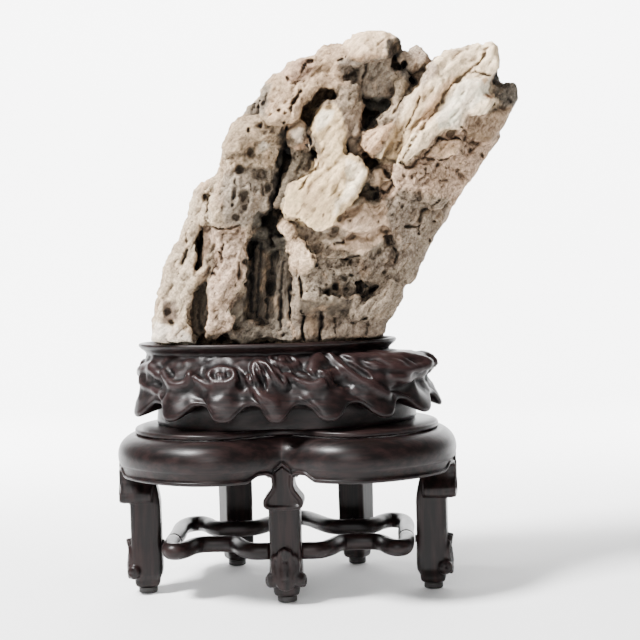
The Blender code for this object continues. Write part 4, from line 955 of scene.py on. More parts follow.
def rim_point(bearing):
    """A point of the apron's outline, by bearing from the front, about the rim's centre."""
    angle = math.radians(bearing)
    depth = RIM_FRONT_DEPTH if math.cos(angle) > 0 else RIM_BACK_DEPTH
    radius = 1.0 / math.hypot(math.sin(angle) / RIM_HALF_WIDTH, math.cos(angle) / depth)
    for place, share, width in NOTCHES:
        away = (bearing - place + 180.0) % 360.0 - 180.0
        radius *= 1.0 - share * math.exp(-(away / width) ** 2)
    return Vector((radius * math.sin(angle), RIM_CENTRE_Y - radius * math.cos(angle)))


def edge_normal(bearing):
    along = rim_point(bearing + 0.5) - rim_point(bearing - 0.5)
    return Vector((along.y, -along.x)).normalized()


def board_point(bearing):
    return rim_point(bearing) - edge_normal(bearing) * APRON_BULGE


def leg_place(bearing):
    """Middle of a leg's shaft, and the way it faces in degrees from the front."""
    out = edge_normal(bearing)
    return board_point(bearing) - out * LEG_INSET, math.degrees(math.atan2(out.x, -out.y))


def stand_origin():
    """The stand's middle in the frame, in metres: the front pad shows where it is."""
    low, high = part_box("pad_front")
    place, _ = leg_place(LEGS["leg_front"])
    middle = (Vector(low) + Vector(high)) / 2
    return Vector((middle.x - place.x * MM, middle.y - place.y * MM, 0.0))


def into_frame(obj):
    """Millimetres about the stand's middle become metres in the frame."""
    obj.data.transform(Matrix.Translation(stand_origin()) @ Matrix.Scale(MM, 4))
    obj.data.update()


def dress(obj, mat, slot, *nodes, crease=0.0):
    """The piece stands for these nodes of the frame and rides on its one body."""
    obj.data.materials.clear()
    obj.data.materials.append(mat)
    select_only(obj)
    if crease:
        bpy.ops.object.shade_smooth_by_angle(angle=math.radians(crease))
    else:
        bpy.ops.object.shade_smooth()
    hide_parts(*nodes)
    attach(obj, "root")


def smooth_line(points, steps):
    """A Catmull-Rom line through the points, each span cut into steps."""
    knots = [Vector(point) for point in points]
    knots = [knots[0] * 2 - knots[1]] + knots + [knots[-1] * 2 - knots[-2]]
    line = []
    for a, b, c, d in zip(knots, knots[1:], knots[2:], knots[3:]):
        for i in range(steps):
            t = i / steps
            line.append(0.5 * (2 * b + (c - a) * t + (2 * a - 5 * b + 4 * c - d) * t * t
                               + (3 * b - a - 3 * c + d) * t ** 3))
    line.append(knots[-2])
    return line


# ---------------------------------------------------------------- carved base

# a section of the base, from the plinth's foot to the seat: centre x, half width, half depth,
# height, lobes, ruffle, wave
BASE_SECTION = (
    (-1.5, 90.5, 64.0, 115.1, 0.03, 0.0, 0.0), (-1.2, 91.0, 64.0, 118.0, 0.03, 0.0, 0.0),
    (-1.0, 90.6, 64.0, 128.0, 0.03, 0.0, 0.6), (-0.9, 96.0, 69.0, 129.4, 0.03, 1.4, 3.6),
    (-0.9, 103.4, 75.0, 127.6, 0.02, 2.6, 5.0), (-0.9, 105.8, 77.0, 127.6, 0.02, 3.0, 5.3),
    (-0.9, 106.4, 77.4, 129.8, 0.02, 3.2, 5.0), (-1.2, 104.8, 76.0, 133.0, 0.02, 3.0, 3.4),
    (-1.6, 102.6, 74.0, 137.0, 0.02, 2.8, 2.0), (-3.0, 99.6, 70.5, 145.0, 0.02, 1.8, 0.6),
    (-6.0, 96.0, 66.0, 152.5, 0.02, 0.6, 0.0), (-10.0, 89.0, 59.0, 159.0, 0.0, 0.0, 0.0),
    (-12.6, 85.2, 53.0, 163.0, 0.0, 0.0, 0.0), (-13.0, 86.0, 52.8, 165.6, 0.0, 0.0, 0.0),
    (-13.0, 88.4, 55.0, 167.6, 0.0, 0.0, 0.0), (-13.0, 90.2, 56.6, 169.6, 0.0, 0.0, 0.0),
    (-13.0, 90.0, 56.4, 171.2, 0.0, 0.0, 0.0), (-13.0, 88.0, 54.4, 171.7, 0.0, 0.0, 0.0),
    (-13.0, 85.2, 50.8, 170.8, 0.0, 0.0, 0.0), (-13.0, 83.2, 48.2, 168.8, 0.0, 0.0, 0.0),
    (-13.0, 82.4, 47.4, 163.0, 0.0, 0.0, 0.0),
)
BASE_BEARINGS = 720
# mean radius of the carving, mm: it turns bearings into lengths round the base
GIRTH = 82.0

# bearings of the skirt's hanging lobes
SKIRT_LOBES = (-162, -135, -104, -76, -51, -25.5, -1, 24, 48.5, 71.5, 97, 123, 148, 173)

# the great fungus head on the right: bearing of its middle, half its spread, how far it reaches out
CLUMP = (75.0, 34.0, 23.0)
# height of the head's underside, and how much lower it starts towards the front, mm
CLUMP_FLOOR = 143.5
CLUMP_DROP = 12.0

# carved stems: half width, how proud, then (bearing, height) along the line
BASE_RIDGES = (
    (5.0, 3.4, [(-94, 149), (-82, 153.5), (-71, 155.5), (-64, 151.5)]),
    (3.6, 3.0, [(-61, 153), (-57, 148), (-51, 145.5), (-46, 147), (-44, 151.5)]),
    (3.2, 2.2, [(-41, 150), (-36, 146), (-31, 146)]),
    (2.6, 2.6, [(-34, 151.5), (-31.5, 155), (-26, 156.2), (-21, 154.4), (-20, 150.6), (-24, 147.4),
                (-30, 147.6), (-34, 151.5)]),
    (3.2, 3.4, [(-9.5, 150), (-9, 155), (-4.5, 158.4), (0, 156.5), (1.2, 151), (4, 145.4), (6.5, 147.5)]),
    (3.2, 2.6, [(6.5, 150), (10.5, 150.6), (14, 147.4), (19, 145.2), (25, 146.5)]),
    (2.0, 1.8, [(4.5, 160.8), (7.5, 163), (13, 163.6), (19, 162.6), (21.5, 160.2), (17.5, 158.2),
                (10.5, 157.8), (4.5, 160.8)]),
    (3.0, 2.6, [(23, 153.5), (28, 156.8), (33, 159.4), (38, 161.6)]),
    (4.6, 3.2, [(43, 160.5), (40, 153), (43, 146), (49, 140), (54, 134)]),
    (3.0, 2.2, [(50, 160.5), (58, 161.8), (68, 160.6), (74, 156.6), (70, 152.6), (60, 152.4),
                (53, 156)]),
    (3.4, 2.4, [(56, 147.5), (64, 145.5), (74, 148), (84, 145), (93, 148)]),
    (3.8, 2.2, [(-78, 146), (-69, 141), (-60, 138)]),
    (4.2, 2.0, [(-12, 143.5), (-7, 139), (-1, 134)]),
)
# carved knobs and hollows: bearing, height, half width, half height, how proud, turn of the scroll
BASE_BOSSES = (
    (-27, 151.4, 4.4, 2.8, 2.6, 40), (-12.5, 148.6, 4.4, 4.4, 4.2, 90), (-5.8, 154.4, 4.4, 3.6, 4.4, 160),
    (4.5, 153.4, 3.4, 3.4, 3.2, 200), (13, 160.7, 9.5, 2.8, 2.2, 0), (28.5, 151.8, 5.6, 2.8, 3.2, 20),
    (61, 156.8, 9, 6.0, 3.0, 60), (85, 155.5, 8, 6.0, 3.6, 240), (-77, 149, 10, 6.5, 2.6, 30),
    (-5.5, 148.6, 3.2, 5.6, -4.2, 0), (-18, 149, 4.4, 7, -2.6, 0), (9, 154, 5.0, 3.2, -2.4, 0),
    (-39, 153, 4.2, 4.0, -2.2, 0), (46, 152, 3.6, 7.5, -3.6, 0), (35, 146.5, 6.5, 4.0, -2.6, 0),
    (-55.5, 151.8, 4.0, 3.2, -2.6, 0), (20, 155.8, 8, 2.2, -2.0, 0), (-66, 146, 5, 3, -2.2, 0),
)


def skirt_swing(bearing):
    """1 at each hanging lobe of the skirt and -1 halfway between two of them."""
    lobes = (SKIRT_LOBES[-1] - 360.0, *SKIRT_LOBES, SKIRT_LOBES[0] + 360.0)
    swing = np.cos(2.0 * np.pi * np.interp(bearing, lobes, range(len(lobes))))
    return swing * (1.3 - 0.3 * swing * swing)


def base_rings():
    """The plain body of the base: rings of points, and the bearing of each point on a ring."""
    section = smooth_line(BASE_SECTION, 5)
    bearing = np.linspace(-180.0, 180.0, BASE_BEARINGS, endpoint=False)
    angle = np.radians(bearing)
    place, spread, reach = CLUMP
    clump = smooth_step(1.0 - np.abs(bearing - place) / spread) * reach
    floor = CLUMP_FLOOR - CLUMP_DROP * smooth_step((72.0 - bearing) / 22.0)
    rings = []
    for centre, wide, deep, height, lobes, ruffle, wave in section:
        radius = 1.0 / np.hypot(np.sin(angle) / wide, np.cos(angle) / deep)
        swing = skirt_swing(bearing + 4.0 * math.sin(max(height - 131.0, 0.0) / 6.0))
        radius = radius * (1.0 - lobes * np.cos(angle * 5)) + ruffle * swing
        # the plinth draws in over the stool's front notch
        if height < 128.3 and ruffle < 0.1:
            radius = radius * (1.0 - 0.1 * np.exp(-(bearing / 16.0) ** 2))
        radius += clump * smooth_step((height - floor) / 13.0) * smooth_step((162.9 - height) / 1.5)
        rings.append(np.stack([centre + radius * np.sin(angle), -radius * np.cos(angle),
                               height - wave * swing], 1))
    return np.array(rings), bearing


def base_relief(points, bearing):
    """How far the carving stands out, for rings of points."""
    height = points[:, :, 2]
    proud_by = np.zeros(height.size)
    sunk_by = np.zeros(height.size)
    for shift in (0.0, 180.0):
        gap = (bearing - shift + 180.0) % 360.0 - 180.0
        across = np.broadcast_to(np.radians(gap) * GIRTH, height.shape).ravel()
        flat = np.stack([across, height.ravel()], 1)
        for width, proud, line in BASE_RIDGES:
            bent = smooth_line([(math.radians(b) * GIRTH, z, 0.0) for b, z in line], 3)
            away = line_distance(flat, [(p.x, p.y) for p in bent]) / width
            proud_by = np.maximum(proud_by, proud * smooth_step(1.25 - 1.1 * away))
        for place, level, wide, tall, proud, turn in BASE_BOSSES:
            side = flat[:, 0] - math.radians(place) * GIRTH
            away = np.hypot(side / wide, (flat[:, 1] - level) / tall)
            dome = np.clip(1.0 - away ** 2, 0.0, 1.0) ** 0.6
            if proud < 0:
                sunk_by = np.minimum(sunk_by, proud * dome)
                continue
            angle = np.arctan2(flat[:, 1] - level, side) - math.radians(turn)
            spiral = np.cos(away * 9.0 + angle) * smooth_step(away * 2.5)
            proud_by = np.maximum(proud_by, proud * dome * (0.8 + 0.25 * spiral))
    relief = (proud_by + sunk_by * (1.0 - smooth_step(proud_by))).reshape(height.shape)
    lumps = fractal_noise(points.reshape(-1, 3) / 13.0, 2, 83).reshape(height.shape)
    band = smooth_step((height - 131.0) / 7.0) * smooth_step((165.0 - height) / 2.5)
    return (relief + lumps * 2.2) * band


def carved_base(mat):
    rings, bearing = base_rings()
    across = np.roll(rings, -1, 1) - np.roll(rings, 1, 1)
    along = np.gradient(rings, axis=0)
    normal = np.cross(across, along)
    normal /= np.linalg.norm(normal, axis=2)[:, :, None] + 1e-9
    relief = base_relief(rings, bearing)
    rings = rings + normal * relief[:, :, None]
    bm = bmesh.new()
    add_loft(bm, [[tuple(point) for point in ring] for ring in rings])
    base = object_from("base_carving", bm)
    cavity_shade(base, 14)
    into_frame(base)
    dress(base, mat, "rosewood", "carved_base")


def cavity_shade(obj, passes):
    """Stores how deep each point lies below its surroundings, in mm, for the finish's painted shade in
    hollows and painted highlight on ridges.
    """
    mesh = obj.data
    points = read_points(mesh)
    sunk = relaxed(points, read_edges(mesh), passes) - points
    store(mesh, "sunk", np.sum(sunk * read_points(mesh, "normal"), axis=1))


# ---------------------------------------------------------------- stool

def top_board(mat):
    steps = 180
    profile = ((1.6, 0.0), (0.5, 0.35), (0.0, 1.2), (0.0, 2.8), (0.5, 3.65), (1.6, 4.0))
    rings = []
    for inset, height in profile:
        ring = []
        for i in range(steps):
            bearing = 360.0 * i / steps
            spot = board_point(bearing) - edge_normal(bearing) * inset
            ring.append((spot.x, spot.y, BOARD_TOP - BOARD_THICKNESS + height))
        rings.append(ring)
    bm = bmesh.new()
    add_loft(bm, rings)
    board = object_from("stool_board", bm)
    cavity_shade(board, 2)
    into_frame(board)
    dress(board, mat, "rosewood", "top_panel")


def apron_bottom(from_leg):
    """Height of the apron's lower edge, by distance from the nearest leg's middle."""
    if from_leg < MITRE_HALF:
        return MITRE_PEAK - (MITRE_PEAK - MITRE_FOOT) * from_leg / MITRE_HALF
    blend = smooth_step((from_leg - 18.0) / 10.0)
    corner = 2.4 * math.exp((MITRE_HALF - from_leg) / 1.8)
    return MITRE_FOOT - (MITRE_FOOT - APRON_BOTTOM) * float(blend) - corner


def apron_section(bearing, from_leg):
    """The bulging section of the apron with the bead along its lower edge."""
    low = apron_bottom(from_leg)
    profile = smooth_line((
        (-2.0, APRON_TOP), (2.2, 110.2), (6.2, 108.2), (9.7, 104.8), (11.6, 100.6), (12.1, 96.4),
        (11.7, max(92.4, low + 5.4)), (10.8, max(90.6, low + 3.7)), (10.6, low + 3.1),
        (11.4, low + 2.5), (11.6, low + 1.4), (10.8, low + 0.3), (9.4, low), (6.4, low + 0.1),
        (5.5, low + 0.6), (5.6, 96.5), (3.0, 101.5), (-2.0, 104.5),
    ), 3)
    edge = board_point(bearing)
    out = edge_normal(bearing)
    return [(edge.x + out.x * o, edge.y + out.y * o, z) for o, z in profile]


def apron(name, start, end, mat):
    """One curved board of the apron, from one leg's middle to the next."""
    fine = 240
    bearings = [start + (end - start) * i / fine for i in range(fine + 1)]
    reach = [0.0]
    for a, b in zip(bearings, bearings[1:]):
        foot_a = board_point(a) + edge_normal(a) * APRON_FOOT_OUT
        foot_b = board_point(b) + edge_normal(b) * APRON_FOOT_OUT
        reach.append(reach[-1] + (foot_b - foot_a).length)
    total = reach[-1]
    count = int(total / APRON_STEP)
    rings = []
    for k in range(count + 1):
        station = total * k / count
        bearing = float(np.interp(station, reach, bearings))
        rings.append(apron_section(bearing, min(station, total - station)))
    bm = bmesh.new()
    add_loft(bm, rings)
    board = object_from(name.replace("apron", "stool_apron"), bm)
    cavity_shade(board, 4)
    into_frame(board)
    dress(board, mat, "rosewood", name, crease=50.0)


CORNER_STEPS = 5


def rounded_square(half, corner, height):
    """Points round a square with rounded corners."""
    points = []
    for turn in range(4):
        for step in range(CORNER_STEPS + 1):
            angle = math.pi / 2 * (turn + step / CORNER_STEPS)
            x = math.copysign(half - corner, math.cos(math.pi / 2 * (turn + 0.5)))
            y = math.copysign(half - corner, math.sin(math.pi / 2 * (turn + 0.5)))
            x += corner * math.cos(angle)
            y += corner * math.sin(angle)
            points.append((x, y, height))
    return points


LEG_SECTIONS = (
    (4.3, 6.8, 3.4), (5.4, 8.2, 3.8), (7.6, 8.7, 4.0), (9.0, 8.6, 4.0),
    (10.4, 9.2, 4.4), (13.5, 10.6, 4.8), (17.0, 10.9, 4.6), (22.0, 10.9, 4.2),
    (28.0, 10.7, 3.6), (36.0, 10.4, 3.0), (50.0, 10.4, 2.6), (62.0, 10.4, 2.4),
    (68.0, 9.6, 2.4), (76.0, 7.8, 2.4), (84.0, 6.8, 2.2), (94.0, 6.6, 2.2),
)
BELL_HALF = ((0.0, MITRE_PEAK - 0.3), (MITRE_HALF - 0.3, MITRE_FOOT - 0.3), (7.4, 83.0), (7.3, 79.5),
             (8.4, 76.0), (10.8, 72.8), (12.9, 70.0), (13.3, 67.4), (12.5, 65.0), (10.4, 63.4),
             (7.0, 63.0))
NECK_BACK = 5.0
# ribs of the palmette at the foot: half width of the rib, then (across, height)
LEAF_RIBS = (
    (1.9, ((0.0, 9.5), (0.0, 20.0), (0.0, 30.0), (0.0, 37.4))),
    (1.6, ((1.4, 10.0), (3.4, 17.0), (4.2, 25.0), (3.8, 31.0), (2.4, 36.0))),
    (1.6, ((3.0, 10.5), (5.6, 16.0), (7.8, 22.0), (8.2, 27.5), (6.6, 31.8), (5.0, 31.2))),
)
SCROLL_CENTRE = (8.6, -8.2, 15.8)
SCROLL_AXIS = (0.9, -0.436, 0.0)


def mirrored(half):
    return list(half) + [(-x, z) for x, z in reversed(half[1:])]


def add_slab(bm, outline, front, back, round_by=1.4):
    """An upright outline between two depths, with a rounded front rim."""
    count = len(outline)
    middle = sum((Vector(point) for point in outline), Vector((0.0, 0.0))) / count
    rings = []
    for inset, depth in ((round_by, front), (round_by * 0.3, front + round_by * 0.3),
                         (0.0, front + round_by), (0.0, back)):
        ring = []
        for point in outline:
            away = Vector(point) - middle
            spot = middle + away * (1.0 - inset / max(away.length, inset * 2))
            ring.append((spot.x, depth, spot.y))
        rings.append(ring)
    add_loft(bm, rings)


def add_tube(bm, line, radius, sides=8):
    """A round bar along a line of points."""
    count = len(line)
    rings = []
    for i, point in enumerate(line):
        ahead = line[min(i + 1, count - 1)] - line[max(i - 1, 0)]
        turn = ahead.to_track_quat("Z", "Y")
        ring = []
        for k in range(sides):
            angle = 2 * math.pi * k / sides
            ring.append(point + turn @ Vector((radius * math.cos(angle), radius * math.sin(angle), 0)))
        rings.append(ring)
    add_loft(bm, rings)


def leaf_depth(across, height):
    """The palmette hugs the foot, swells at the scrolls and turns out at its tip."""
    swell = 1.0 * math.exp(-((height - 17.0) / 7.0) ** 2)
    tip = 1.2 * float(smooth_step((height - 31.0) / 6.0))
    return -11.7 - swell - tip + 0.015 * across * across


def leg_forms(bm):
    """Shaft, tenon, collar block, bell with its bead, leaf and the rolled scroll, in mm."""
    add_loft(bm, [rounded_square(half, corner, z) for z, half, corner in LEG_SECTIONS])
    place = Matrix.Translation((0.0, 2.0, 100.0)) @ Matrix.Diagonal((13.0, 9.0, 21.0, 1.0))
    bmesh.ops.create_cube(bm, size=1.0, matrix=place)
    bell = smooth_line([(x, 0.0, z) for x, z in BELL_HALF[1:]], 4)
    outline = mirrored([BELL_HALF[0]] + [(p.x, p.z) for p in bell])
    add_slab(bm, outline, -BRACKET_FACE + 2.3, NECK_BACK, 0.8)
    bead = [Vector((p.x - 1.3, 0.0, p.z + max(0.0, (67.0 - p.z) * 0.42))) for p in bell]
    bead += [Vector((x, 0.0, 64.7)) for x in (4.0, 0.0)]
    for side in (1, -1):
        add_tube(bm, [Vector((side * p.x, -BRACKET_FACE + 1.5, p.z)) for p in bead], 1.4)
    for radius, knots in LEAF_RIBS:
        rib = smooth_line([(x, 0.0, z) for x, z in knots], 4)
        for side in (1, -1):
            add_tube(bm, [Vector((side * p.x, leaf_depth(p.x, p.z), p.z)) for p in rib], radius)
    for side in (1, -1):
        centre = Vector((side * SCROLL_CENTRE[0], *SCROLL_CENTRE[1:]))
        turn = Vector((side * SCROLL_AXIS[0], *SCROLL_AXIS[1:])).to_track_quat("Z", "Y")
        swirl = []
        for i in range(44):
            angle = math.radians(-90 + 15 * i)
            radius = 4.2 - 0.082 * i
            swirl.append(centre + turn @ Vector((radius * math.cos(angle),
                                                 side * radius * math.sin(angle), 3.4 + 0.02 * i)))
        add_tube(bm, swirl, 0.95, 6)
        place = Matrix.Translation(centre) @ turn.to_matrix().to_4x4()
        bmesh.ops.create_cone(bm, cap_ends=True, segments=24, radius1=5.2, radius2=4.9, depth=6.0,
                              matrix=place)


def leg(name, mat):
    centre, facing = leg_place(LEGS[name])
    bm = bmesh.new()
    leg_forms(bm)
    bmesh.ops.transform(bm, verts=bm.verts, matrix=Matrix.Translation((*centre, 0))
                        @ Matrix.Rotation(math.radians(facing), 4, "Z"))
    bmesh.ops.triangulate(bm, faces=bm.faces)
    piece = object_from(name.replace("leg", "stool_leg"), bm)
    apply_modifier(piece, "REMESH", mode="VOXEL", voxel_size=0.75)
    write_points(piece.data, relaxed(read_points(piece.data), read_edges(piece.data), 2))
    cavity_shade(piece, 10)
    into_frame(piece)
    dress(piece, mat, "rosewood", name)


def pad(name, mat):
    centre, _ = leg_place(LEGS[name.replace("pad", "leg")])
    select_only(bpy.context.scene.objects[0])
    bpy.ops.mesh.primitive_cylinder_add(vertices=40, radius=PAD_DIAMETER / 2, depth=PAD_HEIGHT,
                                        location=(0, 0, 0))
    piece = bpy.context.active_object
    piece.name = name.replace("pad", "foot_pad")
    piece.data.transform(Matrix.Translation((*centre, PAD_HEIGHT / 2)))
    apply_modifier(piece, "BEVEL", width=0.6, segments=3, limit_method="ANGLE")
    into_frame(piece)
    dress(piece, mat, "pad_black", name)


def rail(name, points, mat):
    bm = bmesh.new()
    line = smooth_line([(x, y, RAIL_HEIGHT) for x, y in points], 6)
    add_tube(bm, line, RAIL_DIAMETER / 2, 24)
    piece = object_from(name.replace("rail", "ring_rail"), bm)
    cavity_shade(piece, 2)
    into_frame(piece)
    dress(piece, mat, "rosewood", name)


def ring(mat):
    joint = Vector(RING_SIDE[RING_JOINT])
    front = [Vector(p) for p in RING_SIDE[:RING_JOINT]] + [joint - Vector((0, 0.15))]
    back = [joint + Vector((0, 0.15))] + [Vector(p) for p in RING_SIDE[RING_JOINT + 1:]]
    for side, sign in (("right", 1), ("left", -1)):
        rail(f"rail_front_{side}", [(sign * p.x, p.y) for p in front], mat)
        rail(f"rail_back_{side}", [(sign * p.x, p.y) for p in back], mat)


# ---------------------------------------------------------------- finishes

class Graph:
    """A node tree with short calls to add nodes, link them and set their inputs."""

    def __init__(self, tree):
        self.tree = tree

    def add(self, kind, inputs=None, **settings):
        node = self.tree.nodes.new(kind)
        for key, value in settings.items():
            setattr(node, key, value)
        for key, value in (inputs or {}).items():
            self.give(node.inputs[key], value)
        return node

    def give(self, socket, value):
        if isinstance(value, bpy.types.NodeSocket):
            self.tree.links.new(value, socket)
        else:
            socket.default_value = value

    def attribute(self, name, output="Fac"):
        return self.add("ShaderNodeAttribute", attribute_name=name).outputs[output]

    def math(self, operation, first, second=0.0):
        node = self.add("ShaderNodeMath", {0: first, 1: second}, operation=operation)
        return node.outputs[0]

    def noise(self, place, scale, detail=4.0, roughness=0.55):
        node = self.add("ShaderNodeTexNoise", {"Vector": place, "Scale": scale, "Detail": detail,
                                               "Roughness": roughness})
        return node.outputs["Fac"]

    def stretched(self, place, size):
        node = self.add("ShaderNodeMapping", {"Vector": place, "Scale": size})
        return node.outputs[0]

    def ramp(self, value, low, high):
        node = self.add("ShaderNodeMapRange", {"Value": value, "From Min": low, "From Max": high},
                        interpolation_type="SMOOTHSTEP")
        return node.outputs[0]

    def mix(self, factor, first, second, blend="MIX"):
        node = self.add("ShaderNodeMix", data_type="RGBA", blend_type=blend)
        self.give(node.inputs["Factor"], factor)
        self.give(node.inputs[6], first)
        self.give(node.inputs[7], second)
        return node.outputs[2]


def effect_group(name, inputs, outputs):
    """An empty node group with the given (name, socket type) sockets."""
    tree = bpy.data.node_groups.new(name, "ShaderNodeTree")
    for label, kind in inputs:
        tree.interface.new_socket(label, in_out="INPUT", socket_type=kind)
    for label, kind in outputs:
        tree.interface.new_socket(label, in_out="OUTPUT", socket_type=kind)
    graph = Graph(tree)
    return graph, graph.add("NodeGroupInput").outputs, graph.add("NodeGroupOutput").inputs


def stone_weathering():
    """Stains, veins, grains and dark specks of the stone over its ground colour, with painted shade in
    creases and holes and a painted highlight on ridges.
    """
    number, colour = "NodeSocketFloat", "NodeSocketColor"
    graph, given, out = effect_group(
        "stone_weathering",
        [("Ground", colour), ("Stain", colour), ("Quartz", number), ("Grit", number), ("Fibre", number),
         ("Shade", number), ("Hollow", number), ("Sunk", number)],
        [("Colour", colour), ("Roughness", number), ("Height", number)])
    place = graph.add("ShaderNodeTexCoord").outputs["Object"]
    broad = graph.noise(place, 70.0, 5.0)
    fine = graph.noise(place, 560.0, 6.0, 0.7)
    tint = graph.mix(graph.ramp(broad, 0.35, 0.7), (0.80, 0.76, 0.72, 1), (1.08, 1.06, 1.02, 1))
    shown = graph.mix(1.0, given["Ground"], tint, "MULTIPLY")
    spread = graph.noise(graph.stretched(place, (1.0, 1.0, 0.6)), 95.0, 7.0, 0.6)
    stained = graph.math("MULTIPLY", graph.ramp(spread, 0.50, 0.72), 0.55)
    shown = graph.mix(stained, shown, given["Stain"])
    grain = graph.mix(graph.ramp(fine, 0.30, 0.72), (0.42, 0.40, 0.37, 1), (1.3, 1.29, 1.27, 1))
    grained = graph.math("ADD", graph.math("MULTIPLY", given["Grit"], 0.75), 0.25)
    shown = graph.mix(grained, shown, graph.mix(1.0, shown, grain, "MULTIPLY"))
    turned = graph.add("ShaderNodeMapping", {"Vector": place, "Rotation": (0.0, -0.64, 0.0)})
    drift = graph.noise(graph.stretched(turned.outputs[0], (1.0, 1.0, 0.3)), 380.0, 6.0, 0.75)
    flow = graph.mix(graph.ramp(drift, 0.34, 0.68), (0.58, 0.55, 0.52, 1), (1.2, 1.19, 1.17, 1))
    shown = graph.mix(0.75, shown, graph.mix(1.0, shown, flow, "MULTIPLY"))
    cells = graph.add("ShaderNodeTexVoronoi", {"Vector": place, "Scale": 520.0, "Randomness": 1.0})
    dot = graph.ramp(cells.outputs["Distance"], 0.30, 0.12)
    sparse = graph.ramp(graph.noise(place, 160.0, 2.0), 0.48, 0.6)
    specks = graph.math("MULTIPLY", graph.math("MULTIPLY", dot, sparse), given["Grit"])
    streak = graph.noise(graph.stretched(place, (1.0, 1.0, 0.05)), 620.0, 4.0, 0.6)
    streaks = graph.math("MULTIPLY", graph.ramp(streak, 0.55, 0.35), given["Fibre"])
    # painted shade in creases, darkening the stone together with its dark specks and fibre streaks
    crease = graph.ramp(given["Sunk"], 0.05, 0.55)
    marks_and_crease_shade = graph.math("MAXIMUM", graph.math("MULTIPLY", specks, 0.7), graph.math("MULTIPLY", streaks, 0.6))
    marks_and_crease_shade = graph.math("MAXIMUM", marks_and_crease_shade, graph.math("MULTIPLY", crease, 0.9))
    shown = graph.mix(marks_and_crease_shade, shown, graph.mix(1.0, shown, (0.36, 0.33, 0.30, 1), "MULTIPLY"))
    # painted shade in holes, where little sky is seen
    shown = graph.mix(graph.ramp(given["Hollow"], 0.04, 0.45), shown,
                      graph.mix(1.0, shown, (0.52, 0.50, 0.47, 1), "MULTIPLY"))
    # deeper painted shade in deep holes and in the drawn cracks and pits
    deep = graph.math("MAXIMUM", graph.ramp(given["Hollow"], 0.35, 0.85),
                      graph.math("MULTIPLY", given["Shade"], 0.85))
    shown = graph.mix(deep, shown, graph.mix(1.0, shown, (0.17, 0.16, 0.15, 1), "MULTIPLY"))
    # painted highlight on ridges
    ridge_highlight = graph.ramp(given["Sunk"], -0.10, -0.60)
    lit = graph.mix(1.0, shown, (1.45, 1.42, 1.38, 1), "MULTIPLY")
    shown = graph.mix(graph.math("MULTIPLY", ridge_highlight, 0.5), shown, lit)
    graph.give(out["Colour"], shown)
    polish = graph.math("MULTIPLY", given["Quartz"], 0.28)
    graph.give(out["Roughness"], graph.math("SUBTRACT", 0.86, polish))
    rough = graph.math("MULTIPLY", fine, graph.math("ADD", given["Grit"], 0.35))
    grooves = graph.math("MULTIPLY", streak, given["Fibre"])
    height = graph.math("ADD", graph.math("ADD", rough, grooves), graph.math("MULTIPLY", drift, 0.8))
    graph.give(out["Height"], graph.math("SUBTRACT", height, graph.math("MULTIPLY", specks, 1.2)))
    return graph.tree


def new_material(name):
    mat = bpy.data.materials.new(name)
    mat.use_nodes = True
    return mat, Graph(mat.node_tree), mat.node_tree.nodes["Principled BSDF"].inputs


def stone_material(stain):
    mat, graph, shader = new_material("weathered_quartz")
    effect = graph.add("ShaderNodeGroup", node_tree=stone_weathering())
    graph.give(effect.inputs["Ground"], graph.attribute("ground", "Color"))
    effect.inputs["Stain"].default_value = stain
    for name in ("Quartz", "Grit", "Fibre", "Shade", "Hollow", "Sunk"):
        graph.give(effect.inputs[name], graph.attribute(name.lower()))
    bump = graph.add("ShaderNodeBump", {"Strength": 1.0, "Distance": 0.0009,
                                        "Height": effect.outputs["Height"]})
    graph.give(shader["Base Color"], effect.outputs["Colour"])
    graph.give(shader["Roughness"], effect.outputs["Roughness"])
    graph.give(shader["Normal"], bump.outputs[0])
    shader["Specular IOR Level"].default_value = 0.3
    return mat


def wood_figure():
    """Grain and pores of carved rosewood, with painted shade in the carving's hollows and a painted
    highlight on its ridges.
    """
    number, colour = "NodeSocketFloat", "NodeSocketColor"
    graph, given, out = effect_group(
        "wood_figure", [("Dark", colour), ("Warm", colour), ("Grain", "NodeSocketVector"),
                        ("Sunk", number)],
        [("Colour", colour), ("Roughness", number), ("Height", number)])
    place = graph.add("ShaderNodeTexCoord").outputs["Object"]
    along = graph.add("ShaderNodeVectorMath", {0: place, 1: given["Grain"]}, operation="MULTIPLY")
    lines = graph.noise(along.outputs[0], 260.0, 5.0, 0.6)
    pores = graph.noise(along.outputs[0], 900.0, 3.0, 0.5)
    shown = graph.mix(graph.ramp(lines, 0.36, 0.66), given["Dark"], given["Warm"])
    shown = graph.mix(graph.math("MULTIPLY", graph.ramp(pores, 0.46, 0.32), 0.6), shown,
                      (0.002, 0.0012, 0.0012, 1))
    # painted shade in the carving's hollows and a painted highlight on its ridges
    low = graph.ramp(given["Sunk"], 0.05, 0.9)
    high = graph.ramp(given["Sunk"], -0.05, -0.7)
    shown = graph.mix(graph.math("MULTIPLY", low, 0.8), shown, (0.0012, 0.0009, 0.0009, 1))
    ridge_highlight = graph.mix(1.0, given["Warm"], (1.9, 1.9, 1.95, 1), "MULTIPLY")
    shown = graph.mix(graph.math("MULTIPLY", high, 0.5), shown, ridge_highlight)
    graph.give(out["Colour"], shown)
    satin = graph.math("ADD", graph.math("MULTIPLY", lines, 0.16), 0.30)
    graph.give(out["Roughness"], graph.math("ADD", satin, graph.math("MULTIPLY", low, 0.25)))
    graph.give(out["Height"], graph.math("ADD", graph.math("MULTIPLY", pores, 0.5), lines))
    return graph.tree


